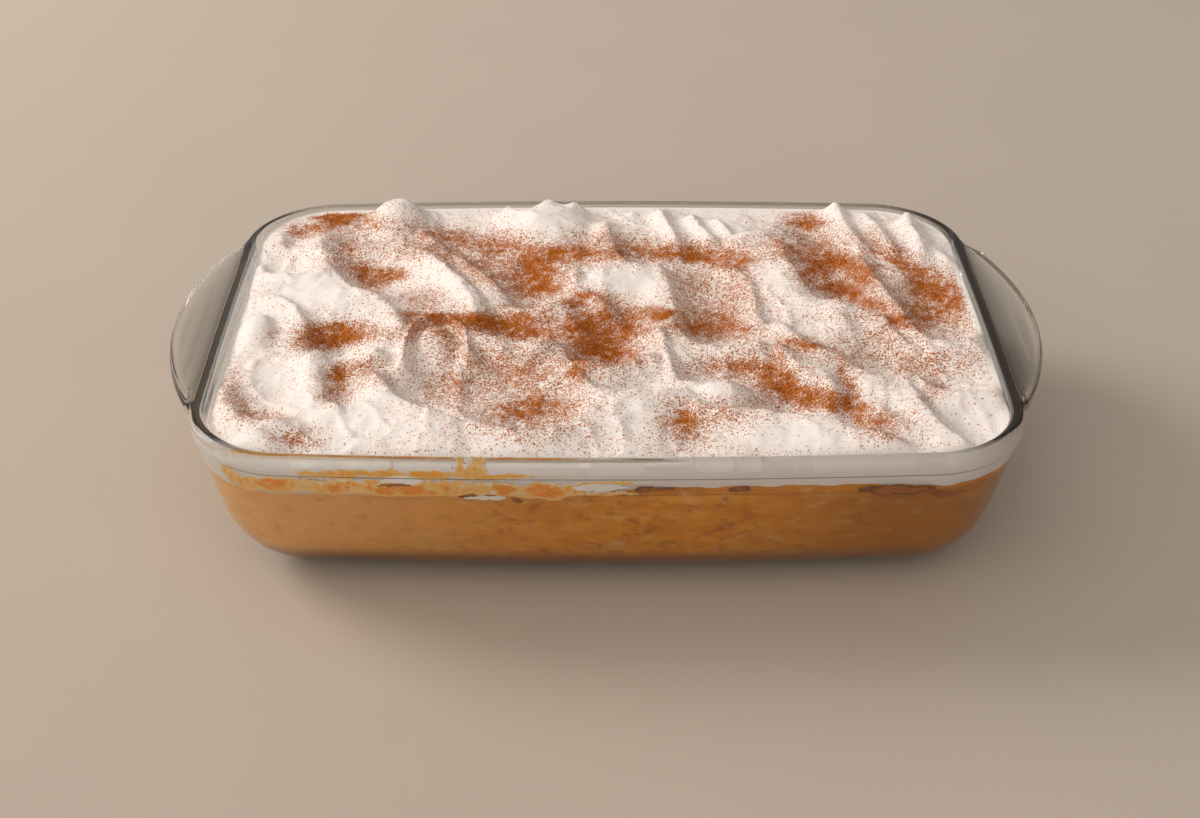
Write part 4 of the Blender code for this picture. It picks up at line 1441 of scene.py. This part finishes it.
# Three angles a grain, of which the last is spare
spin = draw.uniform(0.0, 2 * math.pi, (count, 3))
c, s = np.cos(spin), np.sin(spin)


def turns_about(axis, cosines, sines):
    """One turning matrix for each grain, about x (axis 0) or z (axis 2)."""
    first, second = [other for other in range(3) if other != axis]
    turns = np.zeros((len(cosines), 3, 3))
    turns[:, axis, axis] = 1.0
    turns[:, first, first] = cosines
    turns[:, second, second] = cosines
    turns[:, first, second] = -sines
    turns[:, second, first] = sines
    return turns


turn_z = turns_about(2, c[:, 0], s[:, 0])
turn_x = turns_about(0, c[:, 1], s[:, 1])
chips = np.einsum("nij,njk,ck->nci", turn_z, turn_x, CHIP) * sizes[:, None, None] + centres[:, None, :]
faces = (np.arange(count)[:, None, None] * 4 + np.array(CHIP_FACES)[None]).reshape(-1, 3)
grain_mesh = bpy.data.meshes.new("cinnamon_grains")
grain_mesh.from_pydata(chips.reshape(-1, 3), [], faces)
grains = bpy.data.objects.new("cinnamon_grains", grain_mesh)
bpy.context.scene.collection.objects.link(grains)

print("largest grain, mm:", round(float(sizes.max()) * 2 / MM, 2))

# %% [markdown]
# ### Brown grains
#
# Ground bark has hardly any gloss, and its grains differ in brown. A noise about a millimetre across
# gives neighbouring grains different shades.

# %% Brown grains
grain_mat, tree, shader = new_material("ground_cinnamon")
pick = noise(tree, places(tree), 900.0, 1.0)
colour = blend_colours(tree, remap(tree, pick, 0.35, 0.65), DARK_CINNAMON, LIGHT_CINNAMON)
set_values(shader, Base_Color=colour, Roughness=0.8, Specular_IOR_Level=0.1)
grain_mesh.materials.append(grain_mat)
hand_in(grains, None)

# %% [markdown]
# ## What clings to the inside of the glass
#
# Soaking and spreading left marks on the front glass: smears of milk and wet crumb over the cake's
# edge, bits of the cake's browned skin, and dabs of cream. Each kind is a thin sheet on the inner
# wall. A grid is laid on the wall, and a rule that adds soft spots and ripples says which of its
# faces stay. Solidify then gives the sheet its thickness, inwards.

# %% A sheet on the inner wall
SHEET_CELL = 0.00040
SHEET_THICKNESS = 0.00045
SHARPEST_SHEET_TURN = math.radians(50)
SPOT_MARGIN = 1.6
SPOT_FALL = 0.7
# How far an outline strays along the glass and upwards, in broad and in fine waves, in millimetres
BROAD_DRIFT = (1.3, 0.6)
FINE_DRIFT = (0.7, 0.4)
BROAD_DRIFT_SIZE = 5.0
FINE_DRIFT_SIZE = 1.9
DRIFT_FLATNESS = 1.5
FRAYING_SIZE = 1.2


def on_front_glass(x, z, press):
    """Places on the inside of the front glass for x and z, all in millimetres."""
    lean = WALL_TAPER * np.maximum(WALL_TOP / MM - z, 0.0) / (WALL_TOP / MM)
    px, py = drawn_to_glass(x, np.full_like(x, -RIM_HALF_WIDTH / MM), press / MM - lean)
    return np.stack([px, py, z], axis=1)


def spots(x, z, table):
    """A table's soft spots laid over each other, each from 0 to its own depth."""
    left = np.ones_like(x)
    for px, pz, half_x, half_z, deep in table:
        near = ((x - px) / half_x) ** 2 + ((z - pz) / half_z) ** 2
        left = left * (1.0 - deep * np.exp(-SPOT_FALL * near ** 2))
    return 1.0 - left


def drift(x, z, axis, seed):
    """How far an outline strays along the glass (axis 0) or upwards (axis 1)."""
    broad = BROAD_DRIFT[axis] * ripples(x, DRIFT_FLATNESS * z, BROAD_DRIFT_SIZE, seed + 2 * axis)
    return broad + FINE_DRIFT[axis] * ripples(x, z, FINE_DRIFT_SIZE, seed + 2 * axis + 1)


print("cells in mm:", SHEET_CELL / MM)

# %% [markdown]
# ### Cutting the sheet out
#
# The grid covers all of a table's spots with a margin. The thickness that the rule gives each corner
# stays on the sheet as a number, so that its material can tell thick places from thin ones.

# %% Cutting the sheet out
def sheet_on_glass(name, table, press, raggedness, least, seed):
    """A thin ragged sheet on the front glass, where the spots and ripples are strong enough."""
    rows = np.array(table)
    low = (rows[:, :2] - SPOT_MARGIN * rows[:, 2:4]).min(axis=0)
    high = (rows[:, :2] + SPOT_MARGIN * rows[:, 2:4]).max(axis=0)
    across, up = np.ceil((high - low) * MM / SHEET_CELL).astype(int)
    bpy.ops.object.select_all(action="DESELECT")
    bpy.ops.mesh.primitive_grid_add(x_subdivisions=int(across), y_subdivisions=int(up), size=2.0)
    sheet = bpy.context.object
    sheet.name = name
    sheet.data.name = name
    x, z = ((read_places(sheet.data)[:, :2] + 1.0) / 2.0 * (high - low) + low).T
    thick = spots(x + drift(x, z, 0, seed), z + drift(x, z, 1, seed), table)
    thick = thick + raggedness * ripples(x, z, FRAYING_SIZE, seed + 4)
    write_places(sheet.data, on_front_glass(x, z, press) * MM)
    kept = sheet.data.attributes.new("thickness", "FLOAT", "POINT")
    kept.data.foreach_set("value", thick.astype(np.float32))
    corners = np.empty(len(sheet.data.polygons) * 4, int)
    sheet.data.polygons.foreach_get("vertices", corners)
    bpy.ops.object.mode_set(mode="EDIT")
    bpy.ops.mesh.select_mode(type="FACE")
    bpy.ops.mesh.select_all(action="DESELECT")
    bpy.ops.object.mode_set(mode="OBJECT")
    sheet.data.polygons.foreach_set("select", thick[corners.reshape(-1, 4)].mean(axis=1) < least)
    bpy.ops.object.mode_set(mode="EDIT")
    bpy.ops.mesh.delete(type="FACE")
    bpy.ops.mesh.select_all(action="SELECT")
    bpy.ops.mesh.normals_make_consistent(inside=False)
    bpy.ops.object.mode_set(mode="OBJECT")
    solid = sheet.modifiers.new("thickness", "SOLIDIFY")
    solid.thickness = SHEET_THICKNESS
    solid.offset = -1.0
    bpy.ops.object.modifier_apply(modifier=solid.name)
    bpy.ops.object.shade_smooth_by_angle(angle=SHARPEST_SHEET_TURN)
    return sheet


print("sheet thickness, mm:", SHEET_THICKNESS / MM)

# %% [markdown]
# ## Smears of milk and wet crumb
#
# The smears are orange-brown where they are thick, peach where they thin out, and nearly white at
# their edges. They hang in two rows on the left: one over the dish's step, one over the cake's edge.

# %% Smears of milk and wet crumb
# x and height of the middle, half width and half height, all in millimetres, and how thick
MILK_SMEARS = (
    (-98, 59.6, 16, 1.5, 0.5),
    (-80.5, 60.4, 3.7, 1.3, 0.9),
    (-64.5, 60.3, 7.5, 1.3, 0.95),
    (-50.5, 61.3, 5.8, 2.2, 0.55),
    (-54, 63.6, 1.5, 1.6, 0.5),
    (-47.5, 63.6, 1.5, 1.6, 0.5),
    (-40, 59.4, 9, 1.0, 0.7),
    (-68, 59.3, 38, 0.8, 0.5),
    (-80, 53.8, 62, 3.2, 0.52),
    (-135, 52.4, 6, 3.2, 0.5),
    (-143, 55.0, 6, 3.5, 0.45),
    (-122, 54.3, 6.5, 2.6, 0.8),
    (-116, 57.0, 5, 1.2, 0.35),
    (-100, 52.8, 3.3, 1.8, 0.6),
    (-95, 54.6, 1.1, 2.5, 0.7),
    (-79.5, 52.6, 4.2, 2.2, 0.85),
    (-71.5, 53.0, 4, 2.6, 0.9),
    (-66, 51.6, 9, 0.9, 0.6),
    (-61.5, 55.6, 6.4, 2.6, 0.2),
    (-38, 53.6, 3.5, 2.6, 0.9),
    (-22.5, 52.8, 7.2, 3.3, 0.9),
    (-12, 54.6, 4.5, 3.0, 0.5),
    (2, 57.1, 10, 0.9, 0.45),
    (0, 52.0, 10, 0.8, 0.6),
)
# Thick smears over the cake and over the step, half-thick ones, and thin ones low down and high up
THICK_OVER_CAKE = (0.94, 0.30, 0.006)
THICK_OVER_STEP = (0.97, 0.42, 0.035)
HALF_THICK = (0.97, 0.58, 0.17)
THIN_LOW = (0.93, 0.48, 0.12)
THIN_HIGH = (0.90, 0.82, 0.76)

smears = sheet_on_glass("milk_smears", MILK_SMEARS, press=0.00045, raggedness=0.09, least=0.17, seed=31)
smear_mat, tree, shader = new_material("milk_smear")
where = places(tree)
thickness = add_node(tree, "ShaderNodeAttribute", {"attribute_name": "thickness"}).outputs["Fac"]
height = add_node(tree, "ShaderNodeSeparateXYZ", Vector=where).outputs["Z"]
curdled = remap(tree, noise(tree, where, 330.0, 4.0, 0.65), 0.32, 0.68, -0.24, 0.24)
thickness = math_node(tree, "ADD", thickness, curdled)
thick_colour = blend_colours(tree, remap(tree, height, 0.0572, 0.0586), THICK_OVER_CAKE, THICK_OVER_STEP)
thin_colour = blend_colours(tree, remap(tree, height, 0.0505, 0.0530), THIN_LOW, THIN_HIGH)
colour = blend_colours(tree, remap(tree, thickness, 0.12, 0.42), thin_colour, HALF_THICK)
colour = blend_colours(tree, remap(tree, thickness, 0.48, 0.88), colour, thick_colour)
set_values(shader, Base_Color=colour, Roughness=0.4)
smears.data.materials.append(smear_mat)
hand_in(smears, None)

# %% [markdown]
# ## Bits of browned skin
#
# The cake baked with a dark, papery skin. Where it was torn at the edge, short strips of it show
# between the cake and the cream: thin lines, a lens on the right, and crumbs between them. They are
# darkest at their rims, where the skin is seen on edge.

# %% Bits of browned skin
SKIN_RIM = (0.17, 0.045, 0.002)
SKIN_FACE = (0.42, 0.11, 0.002)
# The same five values as for the smears
BROWNED_SKIN = (
    (105.5, 51.8, 13.5, 2.2, 1.0),
    (124, 48.8, 6.5, 0.55, 1.0),
    (16, 54.2, 8.2, 0.8, 0.8),
    (48, 53.7, 3.7, 1.3, 0.9),
    (-77.5, 55.1, 5.8, 0.5, 1.0),
    (-50.5, 50.5, 4.4, 0.8, 0.9),
    (-33.5, 48.4, 1.8, 0.6, 0.9),
    (35, 65.2, 5.2, 0.7, 0.9),
    (52.5, 65.1, 4.8, 0.7, 0.9),
)

skins = sheet_on_glass("browned_skin", BROWNED_SKIN, press=0.00050, raggedness=0.05, least=0.42, seed=41)
skin_mat, tree, shader = new_material("browned_skin")
where = places(tree)
thickness = add_node(tree, "ShaderNodeAttribute", {"attribute_name": "thickness"}).outputs["Fac"]
papery = remap(tree, noise(tree, where, 380.0, 3.0, 0.6), 0.36, 0.64, -0.15, 0.15)
inwards = remap(tree, math_node(tree, "ADD", thickness, papery), 0.55, 0.85)
colour = blend_colours(tree, inwards, SKIN_RIM, SKIN_FACE)
set_values(shader, Base_Color=colour, Roughness=0.5)
skins.data.materials.append(skin_mat)
hand_in(skins, None)

# %% [markdown]
# ## Dabs of cream on the glass
#
# On the right the cream touches the glass under the rim in two bright dabs with bits of brown along
# their top. White licks of it lie between the smears, and a lobe has slipped down over the cake.

# %% Dabs of cream on the glass
DAB_SHADE = (0.96, 0.90, 0.84)
DAB_LIGHT = (0.98, 0.95, 0.92)
# The same five values as for the smears
CREAM_DABS = (
    (38, 63.4, 6.6, 1.9, 1.0),
    (51.5, 63.4, 4.6, 1.9, 1.0),
    (-74.5, 57.6, 8.2, 1.5, 0.9),
    (-2.5, 55.0, 9.5, 1.5, 1.0),
    (-44.5, 49.5, 8.0, 1.0, 0.9),
)

dabs = sheet_on_glass("cream_on_glass", CREAM_DABS, press=0.00055, raggedness=0.15, least=0.5, seed=51)
dab_mat, tree, shader = new_material("cream_on_glass")
tone = noise(tree, places(tree), 260.0, 3.0)
colour = blend_colours(tree, remap(tree, tone, 0.35, 0.65), DAB_SHADE, DAB_LIGHT)
set_values(shader, Base_Color=colour, Roughness=0.45)
dabs.data.materials.append(dab_mat)
hand_in(dabs, None)
